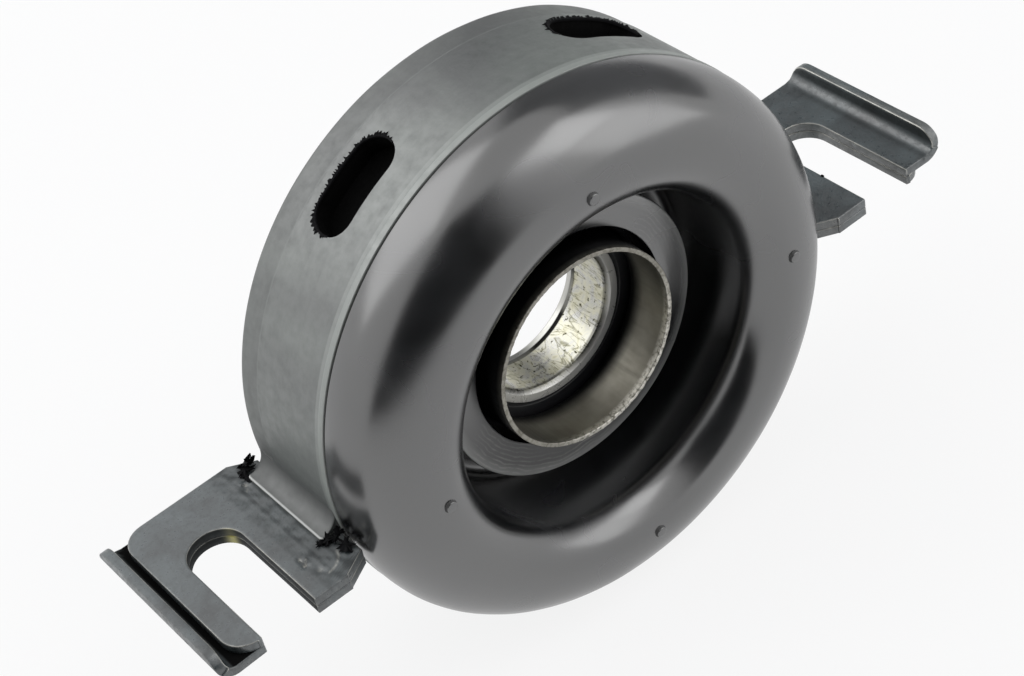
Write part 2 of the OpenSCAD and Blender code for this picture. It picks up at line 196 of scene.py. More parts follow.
# Black rubber pressed in a steel mould: the roll comes out smooth and takes broad soft reflections, the drum
# is duller, with a grey bloom, faint lines round it and a paler line where the two mould halves met
def mouldedRubber():
    look = {"roll": "#0d0e0f", "rollHaze": "#1d1e21", "drum": "#303534", "drumPale": "#5f6560", "drumDark": "#262a2a",
            "bead": "#7b807b", "inside": "#060607", "toe": "#c9cac6", "wiped": "#a3a29b"}
    material, tree = newMaterial("moulded_rubber")
    place = addNode(tree, "ShaderNodeTexCoord").outputs["Object"]
    marks = {key: addNode(tree, "ShaderNodeAttribute", {"attribute_name": key}).outputs["Fac"]
             for key in ("drum", "bead", "deep", "toe", "hub")}
    lean = addNode(tree, "ShaderNodeMapping", Vector=place, Rotation=(0.6, 0.5, 0.0), Scale=(1.0, 0.45, 1.0))
    blotch = addNode(tree, "ShaderNodeTexNoise", Vector=lean.outputs[0], Scale=perMm(27), Detail=4.0, Roughness=0.5,
                     Distortion=0.9)
    mottle = addNode(tree, "ShaderNodeTexNoise", Vector=place, Scale=perMm(2.2), Detail=4.0, Roughness=0.6)
    stretch = addNode(tree, "ShaderNodeMapping", Vector=place, Scale=(0.06, 1.0, 0.06))  # long round the shaft
    lines = addNode(tree, "ShaderNodeTexNoise", Vector=stretch.outputs[0], Scale=perMm(1.1), Detail=3.0)
    haze = addNode(tree, "ShaderNodeTexNoise", Vector=place, Scale=perMm(22), Detail=2.0, Distortion=0.6)
    mix = {"data_type": "RGBA"}
    drumRamp = addNode(tree, "ShaderNodeValToRGB", Fac=blotch.outputs["Fac"])
    drumRamp.color_ramp.elements[0].position, drumRamp.color_ramp.elements[1].position = 0.36, 0.66
    drumRamp.color_ramp.elements[0].color = linear(look["drum"])
    drumRamp.color_ramp.elements[1].color = linear(look["drumPale"])
    mottled = addNode(tree, "ShaderNodeMapRange", Value=mottle.outputs["Fac"], From_Min=0.42, From_Max=0.7,
                      To_Min=0.0, To_Max=0.2)
    lined = addNode(tree, "ShaderNodeMapRange", Value=lines.outputs["Fac"], From_Min=0.45, From_Max=0.75,
                    To_Min=0.0, To_Max=0.2)
    drum = addNode(tree, "ShaderNodeMix", mix, in0=mottled.outputs[0], in6=drumRamp.outputs[0],
                   in7=linear(look["drumDark"]))
    drum = addNode(tree, "ShaderNodeMix", mix, in0=lined.outputs[0], in6=drum.outputs[2],
                   in7=linear(look["drumDark"]))
    drum = addNode(tree, "ShaderNodeMix", mix, in0=marks["bead"], in6=drum.outputs[2], in7=linear(look["bead"]))
    hazy = addNode(tree, "ShaderNodeMapRange", Value=haze.outputs["Fac"], From_Min=0.4, From_Max=0.75)
    roll = addNode(tree, "ShaderNodeMix", mix, in0=hazy.outputs[0], in6=linear(look["roll"]),
                   in7=linear(look["rollHaze"]))
    colour = addNode(tree, "ShaderNodeMix", mix, in0=marks["drum"], in6=roll.outputs[2], in7=drum.outputs[2])
    # deep mark: painted shade, near black and dull where shade falls: in the seam's groove, the hidden inside, the
    # nubs' low sides, the root fillets and low on the hub
    colour = addNode(tree, "ShaderNodeMix", mix, in0=marks["deep"], in6=colour.outputs[2],
                     in7=linear(look["inside"]))
    swirl = addNode(tree, "ShaderNodeTexWave", {"wave_type": "RINGS", "rings_direction": "Y"}, Vector=place,
                    Scale=0.314 * perMm(0.9), Distortion=14.0, Detail=2.5, Detail_Scale=0.3)  # 0.314: one ring a size
    broken = addNode(tree, "ShaderNodeMath", {"operation": "MULTIPLY"}, in0=swirl.outputs["Fac"],
                     in1=mottle.outputs["Fac"])
    wisps = addNode(tree, "ShaderNodeMapRange", Value=broken.outputs[0], From_Min=0.28, From_Max=0.6)
    patches = addNode(tree, "ShaderNodeMath", {"operation": "MULTIPLY"}, in0=hazy.outputs[0], in1=marks["hub"])
    wiped = addNode(tree, "ShaderNodeMath", {"operation": "MULTIPLY"}, in0=wisps.outputs[0], in1=patches.outputs[0])
    colour = addNode(tree, "ShaderNodeMix", mix, in0=wiped.outputs[0], in6=colour.outputs[2],
                     in7=linear(look["wiped"]))
    # toe mark: painted highlight, a pale line along the root pads' toe edge and, fainter, round the hub's outer corner
    colour = addNode(tree, "ShaderNodeMix", mix, in0=marks["toe"], in6=colour.outputs[2], in7=linear(look["toe"]))
    rollRough = addNode(tree, "ShaderNodeMapRange", Value=haze.outputs["Fac"], From_Min=0.3, From_Max=0.75,
                        To_Min=0.18, To_Max=0.32)
    drumRough = addNode(tree, "ShaderNodeMapRange", Value=mottle.outputs["Fac"], From_Min=0.3, From_Max=0.7,
                        To_Min=0.44, To_Max=0.62)
    rough = addNode(tree, "ShaderNodeMix", {"data_type": "FLOAT"}, in0=marks["drum"], in2=rollRough.outputs[0],
                    in3=drumRough.outputs[0])
    rough = addNode(tree, "ShaderNodeMix", {"data_type": "FLOAT"}, in0=marks["deep"], in2=rough.outputs[0], in3=0.95)
    grain = addNode(tree, "ShaderNodeTexNoise", Vector=place, Scale=perMm(0.7), Detail=3.0)
    depth = addNode(tree, "ShaderNodeMath", {"operation": "MULTIPLY_ADD"}, in0=marks["drum"], in1=0.8, in2=0.12)
    height = addNode(tree, "ShaderNodeMath", {"operation": "MULTIPLY"}, in0=grain.outputs["Fac"],
                     in1=depth.outputs[0])
    ridges = addNode(tree, "ShaderNodeMath", {"operation": "MULTIPLY_ADD"}, in0=lines.outputs["Fac"],
                     in1=marks["drum"], in2=height.outputs[0])
    bump = addNode(tree, "ShaderNodeBump", Height=ridges.outputs[0], Strength=0.35, Distance=0.08 * mm)
    shader = addNode(tree, "ShaderNodeBsdfPrincipled", Base_Color=colour.outputs[2], Roughness=rough.outputs[0],
                     IOR=1.8, Specular_IOR_Level=1.0, Normal=bump.outputs[0])
    addNode(tree, "ShaderNodeOutputMaterial", Surface=shader.outputs[0])
    return material


# Mild steel sheet, pressed, then given a thin dark coating: semi-gloss and slightly blotchy, rubbed down to
# pale metal on its sheared edges and scuffs
def coatedSteel():
    look = {"coat": "#262c2e", "coatPale": "#4d5658", "coatDark": "#15191b", "bare": "#c6c4bc", "oil": "#b3ab4c",
            "grime": "#0a0a0a"}
    material, tree = newMaterial("coated_pressed_steel")
    place = addNode(tree, "ShaderNodeTexCoord").outputs["Object"]
    marks = {key: addNode(tree, "ShaderNodeAttribute", {"attribute_name": key}).outputs["Fac"]
             for key in ("edge", "scuff", "oil", "grime")}
    mix = {"data_type": "RGBA"}
    cloud = addNode(tree, "ShaderNodeTexNoise", Vector=place, Scale=perMm(11), Detail=5.0, Roughness=0.62,
                    Distortion=0.4)
    speck = addNode(tree, "ShaderNodeTexNoise", Vector=place, Scale=perMm(1.1), Detail=4.0, Roughness=0.65)
    scrape = addNode(tree, "ShaderNodeMapping", Vector=place, Rotation=(0, 0, 0.7), Scale=(1.0, 0.18, 1.0))
    scratch = addNode(tree, "ShaderNodeTexNoise", Vector=scrape.outputs[0], Scale=perMm(0.8), Detail=5.0,
                      Roughness=0.7)
    ramp = addNode(tree, "ShaderNodeValToRGB", Fac=cloud.outputs["Fac"])
    ramp.color_ramp.elements[0].position, ramp.color_ramp.elements[1].position = 0.36, 0.68
    ramp.color_ramp.elements[0].color = linear(look["coat"])
    ramp.color_ramp.elements[1].color = linear(look["coatPale"])
    dots = addNode(tree, "ShaderNodeMapRange", Value=speck.outputs["Fac"], From_Min=0.48, From_Max=0.68,
                   To_Min=0.0, To_Max=0.4)
    coat = addNode(tree, "ShaderNodeMix", mix, in0=dots.outputs[0], in6=ramp.outputs[0],
                   in7=linear(look["coatDark"]))
    worn = addNode(tree, "ShaderNodeMath", {"operation": "MULTIPLY_ADD"}, in0=scratch.outputs["Fac"], in1=1.6,
                   in2=-0.95)
    rub = addNode(tree, "ShaderNodeMath", {"operation": "ADD"}, in0=marks["edge"], in1=marks["scuff"])
    bare = addNode(tree, "ShaderNodeMath", {"operation": "ADD", "use_clamp": True}, in0=worn.outputs[0],
                   in1=rub.outputs[0])
    bare = addNode(tree, "ShaderNodeMath", {"operation": "MULTIPLY", "use_clamp": True}, in0=bare.outputs[0],
                   in1=rub.outputs[0])
    colour = addNode(tree, "ShaderNodeMix", mix, in0=bare.outputs[0], in6=coat.outputs[2], in7=linear(look["bare"]))
    colour = addNode(tree, "ShaderNodeMix", mix, in0=marks["oil"], in6=colour.outputs[2], in7=linear(look["oil"]))
    # grime mark: near black and dull; painted shade in the left lip's groove and on the right lip's inner face, real
    # dirt along the rubber's toe, and the left slot's walls darker
    colour = addNode(tree, "ShaderNodeMix", mix, in0=marks["grime"], in6=colour.outputs[2],
                     in7=linear(look["grime"]))
    rough = addNode(tree, "ShaderNodeMapRange", Value=speck.outputs["Fac"], From_Min=0.35, From_Max=0.65,
                    To_Min=0.26, To_Max=0.52)
    rough = addNode(tree, "ShaderNodeMix", {"data_type": "FLOAT"}, in0=marks["grime"], in2=rough.outputs[0], in3=0.95)
    shine = addNode(tree, "ShaderNodeMapRange", Value=marks["grime"], To_Min=1.0, To_Max=0.05)
    metal = addNode(tree, "ShaderNodeMath", {"operation": "MULTIPLY"}, in0=bare.outputs[0], in1=0.8)
    fine = addNode(tree, "ShaderNodeBump", Height=speck.outputs["Fac"], Strength=0.3, Distance=0.07 * mm)
    bump = addNode(tree, "ShaderNodeBump", Height=cloud.outputs["Fac"], Strength=0.3, Distance=0.25 * mm,
                   Normal=fine.outputs[0])
    shader = addNode(tree, "ShaderNodeBsdfPrincipled", Base_Color=colour.outputs[2], Roughness=rough.outputs[0],
                     Metallic=metal.outputs[0], IOR=1.6, Specular_IOR_Level=shine.outputs[0],
                     Normal=bump.outputs[0])
    addNode(tree, "ShaderNodeOutputMaterial", Surface=shader.outputs[0])
    return material


# Bare drawn steel: satin, a little tan from oil, with faint draw lines and a raw bright cut rim
def drawnSteel():
    look = {"steel": "#7d7b72", "tan": "#69665d", "streak": "#524f49", "rim": "#d8d5cc", "dark": "#17181a"}
    material, tree = newMaterial("drawn_steel_satin")
    place = addNode(tree, "ShaderNodeTexCoord").outputs["Object"]
    rim, dark = (addNode(tree, "ShaderNodeAttribute", {"attribute_name": key}).outputs["Fac"]
                 for key in ("rim", "dark"))
    mix = {"data_type": "RGBA"}
    cloud = addNode(tree, "ShaderNodeTexNoise", Vector=place, Scale=perMm(7), Detail=3.0)
    stretch = addNode(tree, "ShaderNodeMapping", Vector=place, Scale=(1.0, 0.08, 1.0))  # long along the shaft
    draw = addNode(tree, "ShaderNodeTexNoise", Vector=stretch.outputs[0], Scale=perMm(0.9), Detail=4.0)
    cut = addNode(tree, "ShaderNodeTexNoise", Vector=place, Scale=perMm(0.8), Detail=3.0, Roughness=0.7)
    ramp = addNode(tree, "ShaderNodeValToRGB", Fac=cloud.outputs["Fac"])
    ramp.color_ramp.elements[0].position, ramp.color_ramp.elements[1].position = 0.35, 0.7
    ramp.color_ramp.elements[0].color = linear(look["tan"])
    ramp.color_ramp.elements[1].color = linear(look["steel"])
    streak = addNode(tree, "ShaderNodeMapRange", Value=draw.outputs["Fac"], From_Min=0.5, From_Max=0.75,
                     To_Min=0.0, To_Max=0.1)
    steel = addNode(tree, "ShaderNodeMix", mix, in0=streak.outputs[0], in6=ramp.outputs[0],
                    in7=linear(look["streak"]))
    ragged = addNode(tree, "ShaderNodeMapRange", Value=cut.outputs["Fac"], From_Min=0.35, From_Max=0.55)
    raw = addNode(tree, "ShaderNodeMath", {"operation": "MULTIPLY"}, in0=rim, in1=ragged.outputs[0])
    # rim mark: raw cut metal all round, with a painted highlight low on the right
    colour = addNode(tree, "ShaderNodeMix", mix, in0=raw.outputs[0], in6=steel.outputs[2], in7=linear(look["rim"]))
    # dark mark: painted shade, near black on the collar's outside and towards its inner end by the bearing
    colour = addNode(tree, "ShaderNodeMix", mix, in0=dark, in6=colour.outputs[2], in7=linear(look["dark"]))
    rough = addNode(tree, "ShaderNodeMapRange", Value=draw.outputs["Fac"], From_Min=0.3, From_Max=0.7,
                    To_Min=0.36, To_Max=0.46)
    bump = addNode(tree, "ShaderNodeBump", Height=draw.outputs["Fac"], Strength=0.07, Distance=0.03 * mm)
    shader = addNode(tree, "ShaderNodeBsdfPrincipled", Base_Color=colour.outputs[2], Roughness=rough.outputs[0],
                     Metallic=0.9, Normal=bump.outputs[0])
    addNode(tree, "ShaderNodeOutputMaterial", Surface=shader.outputs[0])
    return material


# Ground bearing steel: bright, with fine rings from grinding and a patchy yellow-brown oil film in the bore
def groundSteel(name, oiled):
    look = {"steel": "#c9c9c5", "dull": "#a3a29c", "film": "#cfccb6", "brown": "#595738", "speck": "#38361f",
            "face": "#cbcac5", "line": "#0c0c0a"}
    material, tree = newMaterial(name)
    place = addNode(tree, "ShaderNodeTexCoord").outputs["Object"]
    mix = {"data_type": "RGBA"}
    rings = addNode(tree, "ShaderNodeMapping", Vector=place, Scale=(0.12, 1.0, 0.12))
    ground = addNode(tree, "ShaderNodeTexNoise", Vector=rings.outputs[0], Scale=perMm(0.5), Detail=3.0)
    cloud = addNode(tree, "ShaderNodeTexNoise", Vector=place, Scale=perMm(4), Detail=5.0, Roughness=0.62,
                    Distortion=1.4)
    dots = addNode(tree, "ShaderNodeTexNoise", Vector=place, Scale=perMm(0.9), Detail=2.0)
    steel = addNode(tree, "ShaderNodeMix", mix, in0=ground.outputs["Fac"], in6=linear(look["steel"]),
                    in7=linear(look["dull"]))
    colour = steel.outputs[2]
    if oiled:
        film = addNode(tree, "ShaderNodeAttribute", {"attribute_name": "film"}).outputs["Fac"]
        patchy = addNode(tree, "ShaderNodeMapRange", Value=cloud.outputs["Fac"], From_Min=0.4, From_Max=0.62)
        filmy = addNode(tree, "ShaderNodeMath", {"operation": "MULTIPLY"}, in0=film, in1=patchy.outputs[0])
        tint = addNode(tree, "ShaderNodeMix", mix, in0=filmy.outputs[0], in6=colour, in7=linear(look["film"]))
        pooled = addNode(tree, "ShaderNodeMapRange", Value=cloud.outputs["Fac"], From_Min=0.56, From_Max=0.72,
                         To_Min=0.0, To_Max=0.5)
        pool = addNode(tree, "ShaderNodeMath", {"operation": "MULTIPLY"}, in0=film, in1=pooled.outputs[0])
        tint = addNode(tree, "ShaderNodeMix", mix, in0=pool.outputs[0], in6=tint.outputs[2],
                       in7=linear(look["brown"]))
        slant = addNode(tree, "ShaderNodeMapping", Vector=place, Rotation=(0.5, 0.3, 0.4), Scale=(1.0, 0.24, 1.0))
        crease = addNode(tree, "ShaderNodeTexNoise", Vector=slant.outputs[0], Scale=perMm(3.4), Detail=3.0,
                         Distortion=1.8)
        offLine = addNode(tree, "ShaderNodeMath", {"operation": "SUBTRACT"}, in0=crease.outputs["Fac"], in1=0.5)
        offLine = addNode(tree, "ShaderNodeMath", {"operation": "ABSOLUTE"}, in0=offLine.outputs[0])
        veined = addNode(tree, "ShaderNodeMapRange", Value=offLine.outputs[0], From_Max=0.026, To_Min=0.75, To_Max=0.0)
        vein = addNode(tree, "ShaderNodeMath", {"operation": "MULTIPLY"}, in0=film, in1=veined.outputs[0])
        tint = addNode(tree, "ShaderNodeMix", mix, in0=vein.outputs[0], in6=tint.outputs[2], in7=linear(look["brown"]))
        spotted = addNode(tree, "ShaderNodeMapRange", Value=dots.outputs["Fac"], From_Min=0.63, From_Max=0.7)
        spot = addNode(tree, "ShaderNodeMath", {"operation": "MULTIPLY"}, in0=film, in1=spotted.outputs[0])
        tint = addNode(tree, "ShaderNodeMix", mix, in0=spot.outputs[0], in6=tint.outputs[2],
                       in7=linear(look["speck"]))
        colour = tint.outputs[2]
    face, edge = (addNode(tree, "ShaderNodeAttribute", {"attribute_name": key}).outputs["Fac"]
                  for key in ("face", "edge"))
    colour = addNode(tree, "ShaderNodeMix", mix, in0=face, in6=colour, in7=linear(look["face"])).outputs[2]
    # edge mark: painted shade, a dark ring at the bore's front chamfer and a fainter line far down the bore
    colour = addNode(tree, "ShaderNodeMix", mix, in0=edge, in6=colour, in7=linear(look["line"])).outputs[2]
    rough = addNode(tree, "ShaderNodeMapRange", Value=cloud.outputs["Fac"], From_Min=0.3, From_Max=0.7,
                    To_Min=0.22, To_Max=0.4)
    metal = addNode(tree, "ShaderNodeMath", {"operation": "MULTIPLY_ADD"}, in0=face, in1=-0.6, in2=1.0)
    bump = addNode(tree, "ShaderNodeBump", Height=ground.outputs["Fac"], Strength=0.2, Distance=0.03 * mm)
    if oiled:  # the film is cloudy, so part of its light is scattered
        metal = addNode(tree, "ShaderNodeMath", {"operation": "MULTIPLY_ADD"}, in0=film, in1=-0.15,
                        in2=metal.outputs[0])
        bump = addNode(tree, "ShaderNodeBump", Height=cloud.outputs["Fac"], Strength=0.3, Distance=0.12 * mm,
                       Normal=bump.outputs[0])
    shader = addNode(tree, "ShaderNodeBsdfPrincipled", Base_Color=colour, Roughness=rough.outputs[0],
                     Metallic=metal.outputs[0], Normal=bump.outputs[0])
    addNode(tree, "ShaderNodeOutputMaterial", Surface=shader.outputs[0])
    return material


# Plain finishes of hidden or small parts: a base colour broken up by a fine noise
def simpleFinish(name, hexA, hexB, grainMm, metallic, roughLow, roughHigh, gloss=0.5):
    material, tree = newMaterial(name)
    place = addNode(tree, "ShaderNodeTexCoord").outputs["Object"]
    grain = addNode(tree, "ShaderNodeTexNoise", Vector=place, Scale=perMm(grainMm), Detail=3.0)
    colour = addNode(tree, "ShaderNodeMix", {"data_type": "RGBA"}, in0=grain.outputs["Fac"], in6=linear(hexA),
                     in7=linear(hexB))
    rough = addNode(tree, "ShaderNodeMapRange", Value=grain.outputs["Fac"], From_Min=0.3, From_Max=0.7,
                    To_Min=roughLow, To_Max=roughHigh)
    bump = addNode(tree, "ShaderNodeBump", Height=grain.outputs["Fac"], Strength=0.2, Distance=0.04 * mm)
    shader = addNode(tree, "ShaderNodeBsdfPrincipled", Base_Color=colour.outputs[2], Roughness=rough.outputs[0],
                     Metallic=metallic, Specular_IOR_Level=gloss, Normal=bump.outputs[0])
    addNode(tree, "ShaderNodeOutputMaterial", Surface=shader.outputs[0])
    return material


rubberFinish = mouldedRubber()
sheetFinish = coatedSteel()
shieldFinish = drawnSteel()
innerFinish = groundSteel("ground_bearing_steel_oiled", True)
ringFinish = groundSteel("ground_bearing_steel", False)
ballFinish = simpleFinish("polished_bearing_ball", "#cfd0d0", "#c2c3c4", 2.0, 1.0, 0.08, 0.14)  # mirror-like steel
cageFinish = simpleFinish("stamped_cage_steel", "#9c978c", "#85807a", 1.2, 1.0, 0.3, 0.45)  # dull stamped strip
sealFinish = simpleFinish("moulded_seal_rubber", "#141416", "#1d1d20", 1.0, 0.0, 0.4, 0.55)  # matte nitrile rubber
tornFinish = simpleFinish("torn_rubber_flash", "#080809", "#131315", 0.8, 0.0, 0.65, 0.85, 0.12)  # ragged dark rubber
shadedSkinFinish = simpleFinish("thin_rubber_skin_painted_shade", "#050505", "#090909", 0.8, 0.0, 0.8, 0.95, 0.1)  # painted shade: near black and dull, for the vent walls and skins
print("materials made")


# Vent slots, shared by the rubber and the hoop: leaning 30 degrees each side of straight up and straight down
vent = {"angles": (60, 120, 240, 300), "length": 20.5, "width": 9.6, "patchAngle": 15, "stepsAcross": 14,
        "steelMargin": 1.5, "ragged": 0.015, "film": 0.05, "tooth": 1.1, "toothStep": 0.24}


# Edge of a vent's patch in plan (degrees off the vent's middle, distance forward), walked round in even steps
def patchLoop(halfWidth):
    half, across = vent["patchAngle"], vent["stepsAcross"]
    front = np.stack([np.arange(-half, half), np.full(2 * half, halfWidth)], -1)
    side = np.stack([np.full(across, half), np.linspace(halfWidth, -halfWidth, across + 1)[:-1]], -1)
    return np.concatenate([front, side, -front, -side]).astype(float)


# Where the ray from the middle through each point meets a slot with round ends
def slotPoint(through, length, width):
    straight, radius = (length - width) / 2, width / 2
    along, across = np.abs(through[:, 0]), np.abs(through[:, 1])
    side = radius / np.maximum(across, 1e-9)  # share of the ray at the straight side
    square, part = along ** 2 + across ** 2, along * straight
    end = (part + np.sqrt(np.maximum(part ** 2 - square * (straight ** 2 - radius ** 2), 0))) / square
    return through * np.where(along * radius <= across * straight, side, end)[:, None]


def offVent(degrees, middle):
    return np.abs((degrees - middle + 180) % 360 - 180)


# Cylinder wall with the vents cut out, over the given whole degrees: plain stretches, and for each vent a grid
# from the slot's edge out to its patch. Also gives each slot's edge, for the wall of the hole
def ventedWall(radius, halfWidth, margin, degrees, ragged=0.0, flow=None, **marks):
    flow = flow or (lambda points: points)
    forward = np.linspace(-halfWidth, halfWidth, vent["stepsAcross"] + 1)
    plain = np.all([offVent(degrees, m) >= vent["patchAngle"] for m in vent["angles"]], axis=0)
    index = np.flatnonzero(plain)
    patches, rims = [], []
    for run in np.split(index, np.flatnonzero(np.diff(index) > 1) + 1):
        patches.append(patch(flow(around(radius, np.radians(degrees[run])[:, None], forward[None])), **marks))
    loop = patchLoop(halfWidth)
    share = np.array([0, 0.05, 0.11, 0.18, 0.27, 0.4, 0.58, 0.78, 1.0])[:, None]
    for k, middle in enumerate(vent["angles"]):
        if offVent(degrees, middle).min() > 0:
            continue
        plan = np.stack([radius * np.sin(np.radians(loop[:, 0])), loop[:, 1]], -1)
        slot = slotPoint(plan, vent["length"] + 2 * margin, vent["width"] + 2 * margin)
        slot = slot * (1 - ragged * jag(len(slot), k + 1) * np.where(slot[:, 1] < 1.5, 1.0, 0.25))[:, None]
        slotTurn = np.arcsin(slot[:, 0] / radius)
        turn = np.radians(middle) + slotTurn + (np.radians(loop[:, 0]) - slotTurn) * share
        ahead = slot[:, 1] + (loop[:, 1] - slot[:, 1]) * share
        patches.append(patch(flow(around(radius, turn, ahead)), closeCols=True, **marks))
        rims.append((k, middle, slot))
    return patches, rims


# Wall of a vent from its outer to its inner edge, with a ragged film left part of the way down
def ventTunnel(outerRim, innerRim, outer, inner, film=0.0, flow=None, **marks):
    k, middle, slotOut = outerRim
    share = np.array([0, 0.04, 0.12, 0.3, 0.42, 0.6, 0.8, 1.0])[:, None]
    pinch = np.array([0, 0.02, 0.1, 0.8, 1.0, 0.3, 0.1, 0])[:, None] * film * (0.3 + 0.7 * jag(len(slotOut), k + 7))
    ring = (slotOut + (innerRim[2] - slotOut) * share[..., None]) * (1 - pinch[..., None])
    rise = outer + (inner - outer) * share
    points = around(rise, np.radians(middle) + np.arcsin(ring[..., 0] / rise), ring[..., 1])
    return patch(flow(points) if flow else points, closeCols=True, **marks)


# Thin skin of rubber left over a vent's inner mouth: the slot's edge shrunk to its middle, sagging a little
def ventSkin(rim, radius, **marks):
    k, middle, slot = rim
    share = np.array([1.06, 1.02, 0.85, 0.6, 0.3, 0.0, 0.3, 0.6, 0.85, 1.02, 1.06])[:, None]
    deep = np.array([0.5, 0.2, 0.5, 0.9, 1.1, 1.2, 1.5, 1.3, 0.9, 0.6, 0.5])[:, None]
    rise = radius + 0.9 - deep + 0 * slot[:, 0]
    turn = np.radians(middle) + np.arcsin(slot[:, 0] / radius) * share
    return patch(around(rise, turn, slot[:, 1] * share), closeCols=True, **marks)


# Torn flash standing along a vent's rear edge: a low strip that follows the slot, its outer side cut into teeth
def ventTeeth(k, middle, radius):
    end, straight = vent["width"] / 2, (vent["length"] - vent["width"]) / 2
    edge = spaced(np.concatenate([arc((-straight, 0), end, 160, 270, 24), arc((straight, 0), end, 270, 380, 24)]),
                  vent["toothStep"])
    step = np.gradient(edge, axis=0)
    outward = np.stack([step[:, 1], -step[:, 0]], -1) / np.linalg.norm(step, axis=1)[:, None]
    fade = np.clip(np.minimum(np.arange(len(edge)), np.arange(len(edge))[::-1]) / 14, 0, 1)
    tooth = vent["tooth"] * fade * jag(len(edge), k + 3) ** 1.6
    off = np.stack([0 * tooth - 0.3, 0 * tooth - 0.3, tooth * 0.3, tooth + 0.03, tooth * 0.5], -1)
    rise = np.stack([0 * tooth - 0.4, 0 * tooth + 0.02, 0.1 + tooth * 0.35, 0 * tooth, 0 * tooth - 0.3], -1)
    off[[0, -1]], rise[[0, -1]] = 0.0, -0.3
    plan = edge[:, None] + outward[:, None] * off[..., None]
    return patch(around(radius + rise, np.radians(middle) + np.arcsin(plan[..., 0] / radius), plan[..., 1]),
                 closeCols=True)


# Rubber moulding: its half section is (radius, distance forward of the bearing's middle), turned about the shaft
rubber = {"drumR": 56.5, "stepR": 56.25, "insideR": 51.2, "bandHalf": 7.0, "back": -13.5, "rimR": 1.2,
          "seam": 13.5, "seamWidth": 0.5, "seamDepth": 0.5, "beadWidth": 1.3, "beadRise": 0.12, "strip": 2.4, "lead": 15.9,
          "crestR": 42.4, "outerR": 14.1, "innerR": 8.0, "shoulder": 22.0, "wall": 5.3, "grooveR": 2.35,
          "grooveAt": (32.05, 5.85), "hubR": 29.7, "hubFace": 13.5, "hubOpenR": 22.4, "housingR": 28.7,
          "housingFace": 8.7, "housingBack": -7.7, "rearR": 31.2, "rearTop": -1.75,
          "wave": 0.05, "waveLength": 24.0, "shadedAt": 235}
nub = {"angles": (0, 90, 180, 270), "radius": 1.15, "rise": 0.55}
rootPad = {"half": 12.0, "split": -9.7, "sheet": 2.0, "edge": 0.8, "fillet": 4.0, "inside": 54.0, "endRound": 0.7}


def rubberFlow(points):  # the moulding isn't quite true: slow waves along the radius, none at the hub
    flat = points * [1, 0, 1]
    reach = np.linalg.norm(flat, axis=-1, keepdims=True)
    size = rubber["wave"] * np.clip((reach - 33) / 8, 0, 1)
    return points + flat / reach * size * unevenness(points, rubber["waveLength"], 3)[..., None]


# Half section of the rubber from the band of the vents forward, and behind it, back to the drum's inside
def rubberSections():
    c = rubber
    over = c["drumR"] + c["beadRise"]
    under = c["drumR"] - c["seamDepth"]
    seen = np.concatenate([  # over the seam and the roll, down the inner wall and up to the hub's face
        roundedPath([(c["drumR"], c["bandHalf"], 0), (c["drumR"], c["seam"] - c["strip"] - 0.2, 0),
                     (c["drumR"], c["seam"] - c["strip"], 0), (c["drumR"], c["seam"] - c["beadWidth"] - 0.2, 0.2),
                     (over, c["seam"] - c["beadWidth"], 0.15), (over, c["seam"], 0.12),
                     (under, c["seam"] + 0.1, 0.08), (under, c["seam"] + c["seamWidth"] - 0.1, 0.08),
                     (c["drumR"], c["seam"] + c["seamWidth"], 0.12), (c["drumR"], c["lead"], 0)], closed=False, fine=28),
        arc((c["crestR"], c["lead"]), c["outerR"], 0, 90, 34)[1:],
        arc((c["crestR"], c["shoulder"]), c["innerR"], 90, 180, 22)[1:],
        arc(c["grooveAt"], c["grooveR"], 0, -180, 16),
        roundedPath([(c["hubR"], c["grooveAt"][1], 0), (c["hubR"], c["hubFace"], 0.35),
                     (c["hubOpenR"], c["hubFace"], 0.5), (c["hubOpenR"], c["housingFace"], 0)], closed=False, fine=28)[1:]])
    hidden = np.concatenate([  # over the bonded housing, under the web and the roll
        roundedPath([(c["hubOpenR"], c["housingFace"], 0), (c["housingR"], c["housingFace"], 2.0),
                     (c["housingR"], c["housingBack"], 0.2), (c["rearR"], c["housingBack"], 0.5),
                     (c["rearR"], c["rearTop"], 0)], closed=False, fine=28),
        arc(c["grooveAt"], c["grooveR"] + c["wall"], -96.4, 0, 14),
        arc((c["crestR"], c["shoulder"]), c["innerR"] - c["wall"], 180, 90, 8),
        arc((c["crestR"], c["lead"]), c["outerR"] - c["wall"], 90, 0, 12)[1:],
        [(c["insideR"], c["bandHalf"])]])
    rear = roundedPath([(c["drumR"], -c["bandHalf"], 0), (c["drumR"], -c["bandHalf"] - 0.15, 0.1),
                        (c["stepR"], -c["bandHalf"] - 0.4, 0.15), (c["stepR"], -c["bandHalf"] - 0.8, 0),
                        (c["stepR"], c["back"], c["rimR"]),
                        (c["insideR"], c["back"], 0.5), (c["insideR"], -c["bandHalf"], 0)], closed=False, fine=28)
    return spaced(seen, 2.5), spaced(hidden, 4.0), spaced(rear, 2.5)


# Small moulding nub on the roll's crest: a low dome turned about its own axis, closed under the surface
def crestNub(degrees):
    spread = nub["radius"] * np.array([0, 1.4, 1.18, 1.07, 1.0, 0.93, 0.8, 0.5, 0.2, 0])[:, None]
    rise = nub["rise"] * np.array([-1.2, -1.0, -0.15, 0.25, 0.7, 0.9, 1.0, 1.03, 1.05, 1.05])[:, None]
    turn = np.radians(np.arange(0, 360, 15))[None]
    out, side = rubber["crestR"] + spread * np.cos(turn), spread * np.sin(turn)
    crest = rubber["lead"] + rubber["outerR"] + rise + 0 * turn
    a = np.radians(degrees)
    points = np.stack([out * np.cos(a) - side * np.sin(a), -crest, out * np.sin(a) + side * np.cos(a)], -1)
    # painted shade: a dark ring low round the nub's side
    return patch(points, closeCols=True, deep=np.where((spread > 0.95 * nub["radius"]) & (rise < 0.5), 0.85, 0.0))


